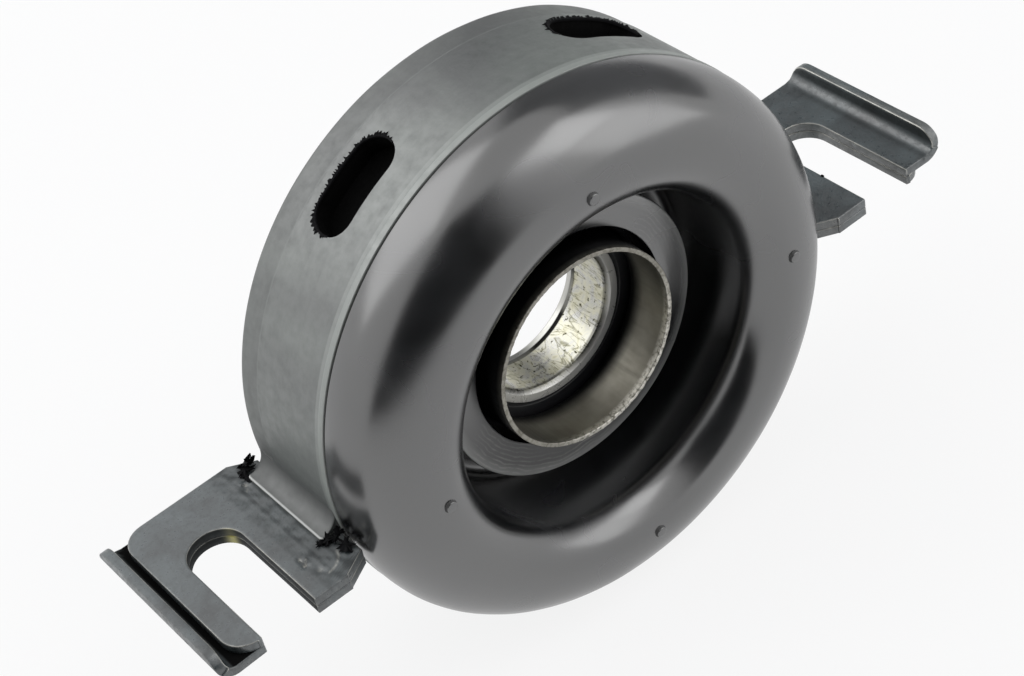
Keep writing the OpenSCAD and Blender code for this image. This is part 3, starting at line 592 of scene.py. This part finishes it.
# Rubber over an ear's root: a fillet from the drum out to a thin toe on the sheet, carried along the shaft's way
def earRootPad(side, up):
    c = rootPad
    face = c["split"] + up * c["sheet"]
    middleZ = face + up * (c["edge"] + c["fillet"])
    middleX = np.sqrt((rubber["drumR"] + c["fillet"]) ** 2 - middleZ ** 2)
    lean = np.degrees(np.arctan2(middleZ, middleX)) + 180  # from the fillet's middle towards the shaft
    bend = arc((middleX, middleZ), c["fillet"], lean, 270 if up > 0 else 90, 16)
    toe = roundedPath([(*bend[-2], 0), (middleX, face + up * c["edge"], 0.2),
                       (middleX, face + up * (c["edge"] - 0.4), 0), (middleX, face - up * 0.4, 0)], closed=False)
    back = [(c["inside"], face - up * 0.4), (c["inside"], bend[0][1])]
    loop = np.concatenate([bend[:-2], toe, back])
    core = np.array([(c["inside"] + 1.5, face + up * 0.2)])
    turn = np.linspace(0, np.pi / 2, 6)
    ends = c["half"] - c["endRound"] * (1 - np.sin(turn))
    shrink = c["endRound"] * (1 - np.cos(turn[::-1])) / 7
    forward = np.concatenate([[-c["half"]], -ends[::-1], np.linspace(-c["half"] + 1.5, c["half"] - 1.5, 17), ends,
                              [c["half"]]])
    scale = np.concatenate([[0.0], 1 - shrink, np.ones(17), 1 - shrink[::-1], [0.0]])
    section = core + (loop - core) * scale[:, None, None]
    points = np.stack([side * section[..., 0], -forward[:, None] + 0 * section[..., 0], section[..., 1]], -1)
    toeHighlight = np.zeros(len(loop))
    toeHighlight[len(bend) - 1:len(bend) + len(toe) - 4] = 1.0
    # painted shade over the fillet, and a painted highlight along the toe's rounded edge
    return patch(points, closeCols=True, drum=1.0, deep=0.35, toe=toeHighlight[None])


def rubberCushion():
    c = rubber
    seen, hidden, rear = rubberSections()
    section = np.concatenate([seen, hidden[1:]])
    turns = np.radians(np.arange(360))[None]

    def turned(path):
        return rubberFlow(around(path[:, :1], turns, path[:, 1:]))

    run = np.arange(len(section))
    seamAt = int(np.argmin(np.hypot(seen[:, 0] - c["drumR"] + c["seamDepth"], seen[:, 1] - c["seam"] - 0.25)))
    onBead = (run < seamAt) & (section[:, 1] > c["seam"] - c["beadWidth"] - 0.05) & (section[:, 0] > c["drumR"])
    onStrip = (run < seamAt) & (section[:, 1] > c["seam"] - c["strip"] - 0.05)  # paler from the bead back a little
    # painted shade: near black in the seam's groove and over the hidden inside of the section
    inSeam = (np.abs(run - seamAt) < 12) & (section[:, 0] < c["drumR"] - 0.3)
    inside = np.clip((run - len(seen) + 4) / 4, 0, 0.7)
    # painted highlight: a pale line round the hub's outer corner
    hubEdgeHighlight = (np.hypot(section[:, 0] - c["hubR"], section[:, 1] - c["hubFace"]) < 0.4) * 0.3
    onHub = (section[:, 1] > c["hubFace"] - 0.05) & (section[:, 0] > c["hubOpenR"]) & (section[:, 0] < c["hubR"])
    low = np.clip(np.cos(turns - np.radians(c["shadedAt"])), 0, 1) * onHub[:, None]  # painted shade low on the left, where the pale wiped streaks are strongest too
    patches = [patch(turned(section), closeCols=True, drum=(run <= seamAt)[:, None], bead=np.maximum(onBead, 0.6 * onStrip)[:, None],
                     deep=np.maximum(np.maximum(inSeam, inside)[:, None], 0.6 * low), toe=hubEdgeHighlight[:, None],
                     hub=(0.25 * onHub[:, None] + 0.75 * low)),
               # painted shade: near black on the rim's inside; the whole rear band is darkened a little
               patch(turned(rear), closeCols=True, drum=np.clip((rear[:, :1] - 52) / 2, 0, 1),
                     bead=0.3 * (np.abs(rear[:, 1:] + c["bandHalf"] + 0.3) < 0.25) * (rear[:, :1] > 54),
                     deep=np.clip((53 - rear[:, :1]) / 2, 0.2, 0.7))]
    degrees = np.arange(361)
    outer, outerRims = ventedWall(c["drumR"], c["bandHalf"], 0.0, degrees, vent["ragged"], rubberFlow, drum=1.0)
    # painted shade: the drum's inner wall is near black
    inner, innerRims = ventedWall(c["insideR"], c["bandHalf"], 0.0, degrees, 0.0, rubberFlow, deep=0.7)
    # the vent walls and the skins behind them take the near-black painted-shade finish
    tunnels = [ventTunnel(o, i, c["drumR"], c["insideR"], vent["film"], rubberFlow, finish=1)
               for o, i in zip(outerRims, innerRims)]
    skins = [ventSkin(i, c["insideR"], finish=1) for i in innerRims]
    teeth = [ventTeeth(k, m, c["drumR"]) for k, m in enumerate(vent["angles"])]
    nubs = [crestNub(d) for d in nub["angles"]]
    pads = [earRootPad(side, up) for side in (-1, 1) for up in (-1, 1)]
    return patches + outer + inner + tunnels + skins + nubs + pads, teeth


moulding, teeth = rubberCushion()
makePiece("rubber_moulding", moulding, rubberFinish, shadedSkinFinish, slot="moulded_rubber", replaces=["rubber_cushion"])
makePiece("vent_flash", teeth, tornFinish, slot="moulded_rubber", sharp=25)


# Brackets: half hoops of sheet whose ears are folded from a flat blank. The blank is (distance out, forward);
# an ear is a flat rounded strip carried round its open slot, from the inner leg to the outer one
ear = {"sheet": 2.0, "edgeR": 0.3, "split": -9.7, "slotAt": 75.0, "slotHalf": 5.75, "slotEnd": -1.0, "front": 22.0,
       "back": -18.2, "root": 56.3, "bevelOut": 61.5, "bevelFront": 18.8, "bevelBack": -15.0, "plainOut": 86.4,
       "plainR": 5.0, "bendAt": 86.6, "bendR": 2.2, "lipHeight": 6.2, "lipR": 4.0, "hoopR": 54.7, "hoopHalf": 12.0,
       "rootBend": 3.0}


# Where a point of the blank lands once the lip is bent up: straight, then an arc, then straight up
def folded(out, height, lipped):
    if not lipped:
        return out, height
    radius = ear["bendR"] + ear["sheet"] / 2
    bend = np.clip((out - ear["bendAt"]) / radius, 0, np.pi / 2)
    before, after = np.minimum(out, ear["bendAt"]), np.maximum(out - ear["bendAt"] - radius * np.pi / 2, 0)
    x = before + (radius - height) * np.sin(bend)
    z = radius - (radius - height) * np.cos(bend) + after
    return x, z


# Knocks on the left ear: blows (distance out, forward, size, depth) and a rubbed bow (its middle and radius)
knocks = {"blows": [(65.7, 14.0, 0.5, 1.3), (65.6, 12.4, 0.45, 1.2), (65.0, 13.2, 0.4, -0.8), (64.5, 17.1, 0.8, 0.6),
                    (61.6, -11.2, 0.6, 1.0), (62.3, -9.9, 0.45, 0.9), (61.3, -12.8, 0.4, 0.8), (62.6, -11.8, 0.35, -0.8)], "bow": (63.6, 14.8, 4.0)}


def earPlate(side, up, lipped):
    c = ear
    radius = c["bendR"] + c["sheet"] / 2
    edge, cornerR = c["plainOut"], c["plainR"]
    if lipped:
        edge = c["bendAt"] + radius * np.pi / 2 + c["lipHeight"] - c["sheet"] / 2 - radius
        cornerR = c["lipR"]
    reach = c["front"] - c["edgeR"]
    slot = np.concatenate([[(c["slotAt"] - c["slotHalf"], reach)],
                           arc((c["slotAt"], c["slotEnd"]), c["slotHalf"], 180, 360, 41),
                           [(c["slotAt"] + c["slotHalf"], reach)]])
    slotRun = np.concatenate([[0], np.cumsum(np.linalg.norm(np.diff(slot, axis=0), axis=1))])
    backArc = arc((edge - cornerR, c["back"] + cornerR), cornerR, -90, 0, 9)
    frontArc = arc((edge - cornerR, c["front"] - cornerR), cornerR, 0, 86, 9)
    rim = np.concatenate([[(c["bevelOut"], reach), (c["root"], c["bevelFront"]), (c["root"], c["bevelBack"]),
                           (c["bevelOut"], c["back"])], backArc, frontArc])
    knots = np.concatenate([[0, 0.06, 0.40, 0.46], np.linspace(0.58, 0.64, 9), np.linspace(0.9, 1, 9)])
    share = np.unique(np.round(np.concatenate([np.linspace(0, 1, 121), knots]), 5))
    inner = np.stack([np.interp(share, slotRun / slotRun[-1], slot[:, k]) for k in (0, 1)], -1)
    outer = np.stack([np.interp(share, knots, rim[:, k]) for k in (0, 1)], -1)
    round3 = np.radians([0, 30, 60, 90])  # both ends of the strip are rounded over the sheet's edge radius
    inset = np.concatenate([c["edgeR"] * (1 - np.cos(round3[::-1])), np.zeros(len(share) - 2),
                            c["edgeR"] * (1 - np.cos(round3))])
    ahead = np.concatenate([c["edgeR"] * np.sin(round3[::-1]), np.zeros(len(share) - 2), c["edgeR"] * np.sin(round3)])
    row = np.concatenate([[0, 0, 0], np.arange(len(share)), [len(share) - 1] * 3])
    inner, outer = inner[row], outer[row]
    width = np.linalg.norm(outer - inner, axis=1)
    across = (outer - inner) / width[:, None]
    flats = np.linspace(0, 1, 34)
    turn = np.radians(np.linspace(90, -90, 7))
    e, half = c["edgeR"], c["sheet"] / 2
    span = np.maximum(width - 2 * e, 0.05)[:, None]
    top = e + span * flats
    outerTurn = e + span + e * np.cos(turn)
    offset = np.concatenate([top, outerTurn[:, 1:-1], top[:, ::-1], (e - e * np.cos(turn))[None, 1:-1]
                             + 0 * span], axis=1)
    rise = np.concatenate([0 * flats + half, half - e + e * np.sin(turn[1:4]), -half + e + e * np.sin(turn[4:-1]),
                           0 * flats - half, -half + e + e * np.sin(turn[::-1][1:3]),
                           half - e + e * np.sin(turn[::-1][3:-1])])
    rise = np.clip(rise[None], -half + inset[:, None], half - inset[:, None])
    offset = np.clip(offset, inset[:, None], (width - inset)[:, None])
    plan = inner[:, None] + across[:, None] * offset[..., None]
    x, z = folded(plan[..., 0], rise, lipped)
    forward = plan[..., 1] + ahead[:, None]
    level = c["split"] + up * half
    onTop = np.concatenate([1 + 0 * flats, np.zeros(len(flats) + 10)])[None]
    worn = np.array([1.0, 0.6, 0.15, 0.1, 0.5] if side < 0 else [1.0, 0.8, 0.4, 0.3, 0.6])  # upper corner is brightest
    marks = {"edge": np.maximum(np.concatenate([0 * flats, worn, 0 * flats, worn[::-1]])[None],
                                (ahead > 0)[:, None] * 0.25) + 0 * x}
    # the left ear's slot walls are painted darker
    slotWall = np.concatenate([np.zeros(2 * len(flats) + 5), [0.1, 0.6, 0.75, 0.6, 0.1]])[None]
    marks["grime"] = slotWall * (ahead == 0)[:, None] * (side < 0) + 0 * x
    if side > 0 and lipped:  # painted shade: the lip's inner face is darker above its bend, with a thin dark line below
        above = 0.55 * np.clip((plan[..., 0] - c["bendAt"] - 3.4) / 1.2, 0, 1)
        below = 0.45 * np.exp(-((plan[..., 0] - c["bendAt"] + 0.4) / 0.9) ** 2)
        marks["grime"] = np.maximum(above, below) * onTop * np.clip((edge - 0.4 - plan[..., 0]) / 0.3, 0, 1)
    if side < 0:
        blows = sum(deep * np.exp(-((x - out) ** 2 + (forward - to) ** 2) / size ** 2)
                    for out, to, size, deep in knocks["blows"]) * (up > 0) * onTop
        z = z - blows * 0.4
        bow = np.hypot(x - knocks["bow"][0], forward - knocks["bow"][1]) - knocks["bow"][2]
        rubbed = np.exp(-(bow / 0.35) ** 2) * (np.abs(x - 61.6) < 2.2) * (forward > 15) * (up > 0) * onTop
        marks["scuff"] = np.clip(np.abs(blows) + rubbed * 0.8, 0, 1)
        marks["oil"] = np.exp(-((x - 70.2) ** 2 + (forward + 4.3) ** 2) / 1.4) * (1 - onTop) * (0.95 if up < 0 else 0.3)
        marks["grime"] = marks["grime"] * (1 - marks["oil"])
        spot = np.stack([x, forward, 0 * x], -1)
        grit = np.clip(0.5 + unevenness(spot, 4.3, 4) + unevenness(spot, 2.3, 9), 0, 1)
        byRoot = 0.5 * np.clip((67.5 - x) / 5, 0, 1) * grit * onTop * (up > 0)  # dirty along the rubber's toe
        marks["grime"] = np.maximum(marks["grime"], byRoot)
        if lipped:
            # painted shade: black in the groove between the ear's edge and its lip, fading out up the lip
            gap = onTop * np.clip((c["bendAt"] + 2.8 - plan[..., 0]) / 1.6, 0, 1) * (ahead == 0)[:, None]
            marks["grime"] = np.maximum(marks["grime"], gap)
    points = np.stack([side * x, -forward, level + z], -1)
    count = len(flats)
    body = patch(points, closeCols=True, **marks)
    caps = []
    for end in (0, -1):  # the strip's two ends are closed by joining its upper and lower faces
        upper, lower = points[end, :count], points[end, count + 5:2 * count + 5][::-1]
        caps.append(patch(np.stack([upper, lower]), edge=0.15))
    return [body] + caps


# Closed strip of sheet: a rounded oblong section carried along a path of (out, up) over a width
def sheetStrip(path, halfWidth, thick):
    step = np.gradient(path, axis=0)
    normal = np.stack([-step[:, 1], step[:, 0]], -1) / np.linalg.norm(step, axis=1)[:, None]
    oblong = roundedPath([(-halfWidth, -thick / 2, 0.3), (halfWidth, -thick / 2, 0.3), (halfWidth, thick / 2, 0.3),
                          (-halfWidth, thick / 2, 0.3)], fine=30)
    place = path[:, None] + normal[:, None] * oblong[None, :, 1:]
    points = np.stack([place[..., 0], -oblong[None, :, 0] + 0 * place[..., 0], place[..., 1]], -1)
    ends = [points[:1].mean(1, keepdims=True) + 0 * points[:1], points[-1:].mean(1, keepdims=True) + 0 * points[-1:]]
    return patch(np.concatenate([ends[0], points, ends[1]]), closeCols=True)


def halfHoop(up, lipSide):
    c = ear
    inside = c["hoopR"] - c["sheet"]
    bendZ = c["split"] + up * (c["sheet"] + c["rootBend"])
    reach = c["hoopR"] + c["rootBend"]
    bendX = np.sqrt(reach ** 2 - bendZ ** 2)
    lean = np.degrees(np.arctan2(bendZ, bendX))
    first, last = int(np.ceil(lean)), int(np.floor(180 - lean))
    degrees = np.arange(first, last + 1) if up > 0 else np.arange(last, first + 361)
    outer, outerRims = ventedWall(c["hoopR"], c["hoopHalf"], vent["steelMargin"], degrees)
    inner, innerRims = ventedWall(inside, c["hoopHalf"], vent["steelMargin"], degrees)
    walls = [ventTunnel(o, i, c["hoopR"], inside) for o, i in zip(outerRims, innerRims)]
    radii = np.array([c["hoopR"], inside])[:, None]
    edges = [patch(around(radii, np.radians(degrees)[None], f)) for f in (-c["hoopHalf"], c["hoopHalf"])]
    forward = np.linspace(-c["hoopHalf"], c["hoopHalf"], vent["stepsAcross"] + 1)[None]
    edges += [patch(around(radii, np.radians(d), forward)) for d in (degrees[0], degrees[-1])]
    pieces = outer + inner + walls + edges
    for side in (-1, 1):
        middle = c["rootBend"] + c["sheet"] / 2
        bend = arc((bendX, bendZ), middle, lean + 180, 270 if up > 0 else 90, 14)
        hoopTurn = np.radians(np.linspace(lean + up * 2.5, lean, 4))[:-1]
        hoop = (reach - middle) * np.stack([np.cos(hoopTurn), np.sin(hoopTurn)], -1)
        path = np.concatenate([hoop, bend, [(bendX + 1.5, bend[-1][1])]])
        points, *rest = sheetStrip(path, c["hoopHalf"], c["sheet"] - 0.06)
        pieces.append((points * [side, 1, 1], *rest))
        pieces += earPlate(side, up, side == lipSide)
    return pieces


makePiece("upper_half_hoop", halfHoop(1, 1), sheetFinish, slot="coated_steel", replaces=["upper_bracket"], sharp=30)
makePiece("lower_half_hoop", halfHoop(-1, -1), sheetFinish, slot="coated_steel", replaces=["lower_bracket"], sharp=30)


# Ring turned about the shaft from a closed half section of (radius, forward, corner radius)
def turnedRing(name, section, material, count=240, step=3.0, rimAt=None, **piece):
    path = spaced(np.concatenate([section, section[:1]]), step)[:-1]
    turns = np.radians(np.arange(count) * 360 / count)[None]
    points = around(path[:, :1], turns, path[:, 1:])
    marks = {}
    if rimAt is not None:  # raw sheared rim: ragged by a few hundredths, pale all round, with a painted highlight low on the right
        near = np.clip((path[:, 1:] - rimAt + 0.6) / 0.4, 0, 1)
        points = points + near[..., None] * np.array([0, -1, 0]) * (0.12 * (jag(count, 5) - 0.5))[None, :, None]
        marks["rim"] = near * (0.25 + 0.75 * np.clip(np.cos(turns + 0.9) * 1.6 - 0.5, 0, 1))
        # painted shade: the collar's outside, in the narrow gap, and its inner end by the bearing are darkened
        outside = np.clip((path[:, :1] - shield["collarR"] + 0.45) / 0.3, 0, 1) * (1 - near)
        marks["dark"] = np.maximum(outside, 0.92 * np.clip((11.5 - path[:, 1:]) / 2.5, 0, 1)) + 0 * turns
    if name == "inner_race_ring":
        flat = (np.abs(path[:, 1:]) > bearing["half"] - 0.1) | (path[:, :1] > bearing["boreR"] + 0.7)
        marks["face"] = flat + 0 * turns
        bore, behind = path[:, :1] < bearing["boreR"] + 0.1, path[:, 1:] + bearing["half"] - bearing["line"]
        marks["film"] = (bore & (behind > -0.1)) + 0 * turns
        mouth = path[:, 1:] > bearing["half"] - bearing["chamfer"] - bearing["ring"] - 0.01
        faint = np.clip(0.95 + 0.4 * np.sin(5 * turns + 1.0), 0, 1)  # painted shade: the far dark line comes and goes, the dark ring at the mouth is even
        marks["edge"] = (bore & (np.abs(behind) < bearing["lineHalf"] + 0.01)) * faint + 0.6 * (bore & mouth)
    return makePiece(name, [patch(points, closeRows=True, closeCols=True, **marks)], material, **piece)


shield = {"bearingFace": 6.5, "thick": 1.0, "flangeR": 26.6, "collarR": 20.8, "bendR": 1.0, "rim": 18.6}
bearing = {"half": 6.5, "boreR": 15.0, "chamfer": 0.8, "landR": 17.5, "landAt": 4.9, "innerShoulder": 19.0,
           "outerShoulder": 23.5, "outR": 27.5, "pitchR": 21.25, "raceR": 3.672, "seatR": 24.3, "seatAt": 5.0,
           "line": 2.5, "lineHalf": 0.42, "ring": 0.4}
s = shield
turnedRing("front_dust_shield", roundedPath([
    (s["flangeR"], s["bearingFace"], 0.2), (s["flangeR"], s["bearingFace"] + s["thick"], 0.2),
    (s["collarR"], s["bearingFace"] + s["thick"], s["bendR"]), (s["collarR"], s["rim"], 0.2),
    (s["collarR"] - s["thick"], s["rim"], 0.2),
    (s["collarR"] - s["thick"], s["bearingFace"], s["bendR"] + s["thick"])]),
    shieldFinish, count=360, step=1.5, rimAt=s["rim"], slot="pressed_steel", replaces=["front_shield"])

housing = {"outR": 28.7, "inR": 27.5, "front": 8.7, "seat": 7.5, "openR": 22.4, "cornerR": 2.0, "insideR": 0.8,
           "back": -7.7, "crimp": -6.5, "crimpR": 25.5}
h = housing
turnedRing("bearing_cup", roundedPath([
    (h["openR"], h["front"], 0.2), (h["outR"], h["front"], h["cornerR"]), (h["outR"], h["back"], 1.1),
    (h["crimpR"], h["back"], 0.25), (h["crimpR"], h["crimp"], 0.25), (h["inR"], h["crimp"], 0.05),
    (h["inR"], h["seat"], h["insideR"]), (h["openR"], h["seat"], 0.2)]),
    shieldFinish, slot="pressed_steel", replaces=["bearing_housing"])

b = bearing
raceLean = np.degrees(np.arccos((b["pitchR"] - b["innerShoulder"]) / b["raceR"]))
turnedRing("inner_race_ring", np.concatenate([
    roundedPath([(b["innerShoulder"], b["landAt"], 0.15), (b["landR"], b["landAt"], 0.1), (b["landR"], b["half"], 0.15),
                 (b["boreR"] + b["chamfer"], b["half"], 0.12), (b["boreR"], b["half"] - b["chamfer"], 0.12),
                 *[(b["boreR"], b["half"] - b["chamfer"] - k * b["ring"], 0) for k in (1, 2)],
                 *[(b["boreR"], b["line"] - b["half"] + k * b["lineHalf"], 0) for k in (1.5, 1, -1, -1.5)],
                 (b["boreR"], -b["half"] + b["chamfer"], 0.12), (b["boreR"] + b["chamfer"], -b["half"], 0.12),
                 (b["landR"], -b["half"], 0.15), (b["landR"], -b["landAt"], 0.1),
                 (b["innerShoulder"], -b["landAt"], 0.15)]),
    arc((b["pitchR"], 0), b["raceR"], 180 + raceLean, 180 - raceLean, 20)]),
    innerFinish, body="inner_race", step=1.5, slot="bearing_steel", replaces=["inner_ring"], sharp=25)
turnedRing("outer_race_ring", np.concatenate([
    roundedPath([(b["seatR"], -b["seatAt"], 0.1), (b["seatR"], -b["half"], 0.1), (b["outR"] - b["chamfer"], -b["half"], 0.1),
                 (b["outR"], -b["half"] + b["chamfer"], 0.1), (b["outR"], b["half"] - b["chamfer"], 0.1),
                 (b["outR"] - b["chamfer"], b["half"], 0.1), (b["seatR"], b["half"], 0.1),
                 (b["seatR"], b["seatAt"], 0.1), (b["outerShoulder"], b["seatAt"], 0.1)])[:-1],
    arc((b["pitchR"], 0), b["raceR"], raceLean, -raceLean, 20),
    [(b["outerShoulder"], -b["seatAt"])]]),
    ringFinish, step=2.0, slot="bearing_steel", replaces=["outer_ring"], sharp=25)

seal = {"inner": 5.0, "outer": 6.1, "lipR": 17.6, "discR": 18.4, "seatR": 24.3, "lipIn": 0.275}
for name, node, way in (("front_lip_seal", "front_seal", 1), ("rear_lip_seal", "rear_seal", -1)):
    q = seal
    section = roundedPath([
        (q["lipR"], q["inner"] + q["lipIn"], 0.08), (q["discR"], q["inner"], 0.1), (q["seatR"], q["inner"], 0.1),
        (q["seatR"], q["outer"], 0.15), (q["discR"], q["outer"], 0.2), (q["discR"], q["outer"] - q["lipIn"], 0.05),
        (q["lipR"], q["outer"] - q["lipIn"], 0.1)])
    turnedRing(name, section * [1, way], sealFinish, slot="seal_rubber", replaces=[node], sharp=30)

for name, node in nodes.items():  # balls, cage and rivets keep their CAD shape
    if name.startswith(("ball", "cage")):
        node.data.materials.clear()
        node.data.materials.append(ballFinish if name.startswith("ball") else cageFinish)
print("bearing finished")


# Torn rubber flash at the ends of the left ear's root: thin flaps, each a star of ragged reach that curls up and
# is as thick as a film; its place, lean (about x, then y, in degrees), size, curl and seed
flash = {"thick": 0.35, "points": 26, "flaps": [
    ((-59.6, 14.2, -7.3), (0, -12), 2.6, 0.6, 1), ((-58.9, 14.9, -6.6), (-35, -30), 2.2, 0.9, 2),
    ((-60.6, 12.6, -7.4), (8, 0), 1.6, 0.4, 3), ((-58.3, 13.4, -5.6), (-70, -20), 1.8, 0.6, 4),
    ((-59.4, -12.8, -7.3), (10, -10), 2.1, 0.7, 5), ((-58.4, -13.8, -6.8), (30, -25), 1.9, 0.8, 6),
    ((-57.9, -16.2, -7.2), (12, -5), 2.2, 0.5, 7), ((-57.6, -14.0, -5.9), (60, -20), 1.5, 0.6, 8),
    ((-60.8, -12.2, -7.4), (0, 0), 1.4, 0.4, 9), ((58.9, 13.6, -7.0), (-20, 15), 1.8, 0.7, 10),
    ((69.05, -10.1, -7.75), (0, 70), 0.6, 0.3, 11)]}


def tornFlap(place, lean, size, curl, seed):
    count = flash["points"]
    share = np.array([0.0, 0.35, 0.65, 0.88, 1.0])[:, None]
    turn = np.arange(count)[None] * tau / count
    reach = size * (0.3 + 0.7 * jag(count, seed) ** 1.4)[None] * share
    lift = curl * (jag(count, seed + 20)[None] * share) ** 2
    film = flash["thick"] * (1 - share ** 2)
    flat = np.stack([reach * np.cos(turn), reach * np.sin(turn), lift + film], -1)
    under = np.stack([reach * np.cos(turn), reach * np.sin(turn), lift - film], -1)[::-1][1:]
    a, b = np.radians(lean)
    rollX = np.array([[1, 0, 0], [0, np.cos(a), -np.sin(a)], [0, np.sin(a), np.cos(a)]])
    rollY = np.array([[np.cos(b), 0, np.sin(b)], [0, 1, 0], [-np.sin(b), 0, np.cos(b)]])
    return patch(np.array(place) + np.concatenate([flat, under]) @ (rollY @ rollX).T, closeCols=True)


makePiece("torn_root_flash", [tornFlap(*flap) for flap in flash["flaps"]], tornFinish, slot="moulded_rubber", sharp=25)


# Stage: pale floor, white surroundings, and a dark opening of the light tent behind the camera
stage = {"floorHalf": 4.0, "floorZ": -56.6, "flagAway": 900.0, "flagLow": (-77, 12), "flagHigh": (-58, -6), "flagUp": (-4, 66),
         "wallSide": (78, 157), "wallUp": (8, 58)}
floorMesh = bpy.data.meshes.new("pale_floor")
w, z = stage["floorHalf"], stage["floorZ"] * mm
floorMesh.from_pydata([(-w, -w, z), (w, -w, z), (w, w, z), (-w, w, z)], [], [(0, 1, 2, 3)])
floor = bpy.data.objects.new("pale_floor", floorMesh)
scene.collection.objects.link(floor)
floorMaterial, tree = newMaterial("matte_white_table")  # seamless white paper: bright, with only a soft shadow
rays = addNode(tree, "ShaderNodeLightPath")
seen = addNode(tree, "ShaderNodeMath", {"operation": "MAXIMUM"}, in0=rays.outputs["Is Camera Ray"],
               in1=rays.outputs["Is Glossy Ray"])
seen = addNode(tree, "ShaderNodeMath", {"operation": "MAXIMUM"}, in0=seen.outputs[0],
               in1=rays.outputs["Is Transmission Ray"])
paper = addNode(tree, "ShaderNodeBsdfDiffuse", Color=(0.85, 0.85, 0.85, 1))
glow = addNode(tree, "ShaderNodeEmission", Color=(1, 1, 1, 1), Strength=1.0)
blend = addNode(tree, "ShaderNodeMath", {"operation": "MULTIPLY"}, in0=seen.outputs[0], in1=0.85)
surface = addNode(tree, "ShaderNodeMixShader", Fac=blend.outputs[0], in1=paper.outputs[0], in2=glow.outputs[0])
addNode(tree, "ShaderNodeOutputMaterial", Surface=surface.outputs[0])
floorMesh.materials.append(floorMaterial)

flagMesh = bpy.data.meshes.new("dark_opening")  # part of a ball: angle round from the front, and angle up
share, up = np.linspace(0, 1, 30)[:, None], np.linspace(0, 1, 24)
low, high = np.array(stage["flagLow"]), np.array(stage["flagHigh"])
side = np.radians(low[0] + (high - low)[0] * up + (low[1] - low[0] + ((high - low)[1] - (high - low)[0]) * up) * share)
rise = np.radians(stage["flagUp"][0] + (stage["flagUp"][1] - stage["flagUp"][0]) * up)
ball = np.stack([np.sin(side) * np.cos(rise), -np.cos(side) * np.cos(rise), np.sin(rise) + 0 * side], -1)
flagMesh.from_pydata((ball.reshape(-1, 3) * stage["flagAway"] * mm).tolist(), [], gridFaces(30, 24).tolist())
flag = bpy.data.objects.new("dark_opening", flagMesh)
scene.collection.objects.link(flag)
flag.visible_camera = False
flag.visible_shadow = False
wallMesh = bpy.data.meshes.new("grey_wall")  # a dim part of the room, behind on the right
side = np.radians(np.linspace(*stage["wallSide"], 30))[:, None]
rise = np.radians(np.linspace(*stage["wallUp"], 24))
ball = np.stack([np.sin(side) * np.cos(rise), -np.cos(side) * np.cos(rise), np.sin(rise) + 0 * side], -1)
wallMesh.from_pydata((ball.reshape(-1, 3) * stage["flagAway"] * mm).tolist(), [], gridFaces(30, 24).tolist())
wall = bpy.data.objects.new("grey_wall", wallMesh)
scene.collection.objects.link(wall)
wall.visible_camera = False
wall.visible_shadow = False
wallMaterial, tree = newMaterial("grey_paint")  # plain matte grey
paint = addNode(tree, "ShaderNodeBsdfDiffuse", Color=(0.3, 0.3, 0.3, 1))
addNode(tree, "ShaderNodeOutputMaterial", Surface=paint.outputs[0])
wallMesh.materials.append(wallMaterial)
flagMaterial, tree = newMaterial("dark_felt")  # takes most of the light
felt = addNode(tree, "ShaderNodeBsdfDiffuse", Color=(0.03, 0.03, 0.03, 1))
addNode(tree, "ShaderNodeOutputMaterial", Surface=felt.outputs[0])
flagMesh.materials.append(flagMaterial)

world = bpy.data.worlds.new("light_tent")
world.use_nodes = True
scene.world = world
tree = world.node_tree
tree.nodes.clear()
rays = addNode(tree, "ShaderNodeLightPath")
tent = addNode(tree, "ShaderNodeBackground", Color=(0.97, 0.99, 1.03, 1), Strength=0.85)
white = addNode(tree, "ShaderNodeBackground", Color=(1, 1, 1, 1), Strength=1.0)
seen = addNode(tree, "ShaderNodeMath", {"operation": "MAXIMUM"}, in0=rays.outputs["Is Camera Ray"],
               in1=rays.outputs["Is Glossy Ray"])
seen = addNode(tree, "ShaderNodeMath", {"operation": "MAXIMUM"}, in0=seen.outputs[0],
               in1=rays.outputs["Is Transmission Ray"])
surface = addNode(tree, "ShaderNodeMixShader", Fac=seen.outputs[0], in1=tent.outputs[0], in2=white.outputs[0])
addNode(tree, "ShaderNodeOutputWorld", Surface=surface.outputs[0])

lamps = {"key": {"place": (-400, 480, 720), "size": 900, "watts": 3.4},
         "front_box": {"place": (390, -390, 710), "size": 460, "watts": 1.15},
         "side_box": {"place": (660, -600, 330), "size": 560, "watts": 1.2}}
for name, lamp in lamps.items():
    data = bpy.data.lights.new(name, "AREA")
    data.size, data.energy = lamp["size"] * mm, lamp["watts"]
    light = bpy.data.objects.new(name, data)
    scene.collection.objects.link(light)
    away = np.array(lamp["place"], float)
    back = away / np.linalg.norm(away)
    right = np.cross((0, 0, 1), back)
    right = right / np.linalg.norm(right)
    turnTo = Matrix(np.array([right, np.cross(back, right), back]).T.tolist()).to_4x4()
    light.matrix_world = Matrix.Translation(away * mm) @ turnTo
print("stage and lamps set")
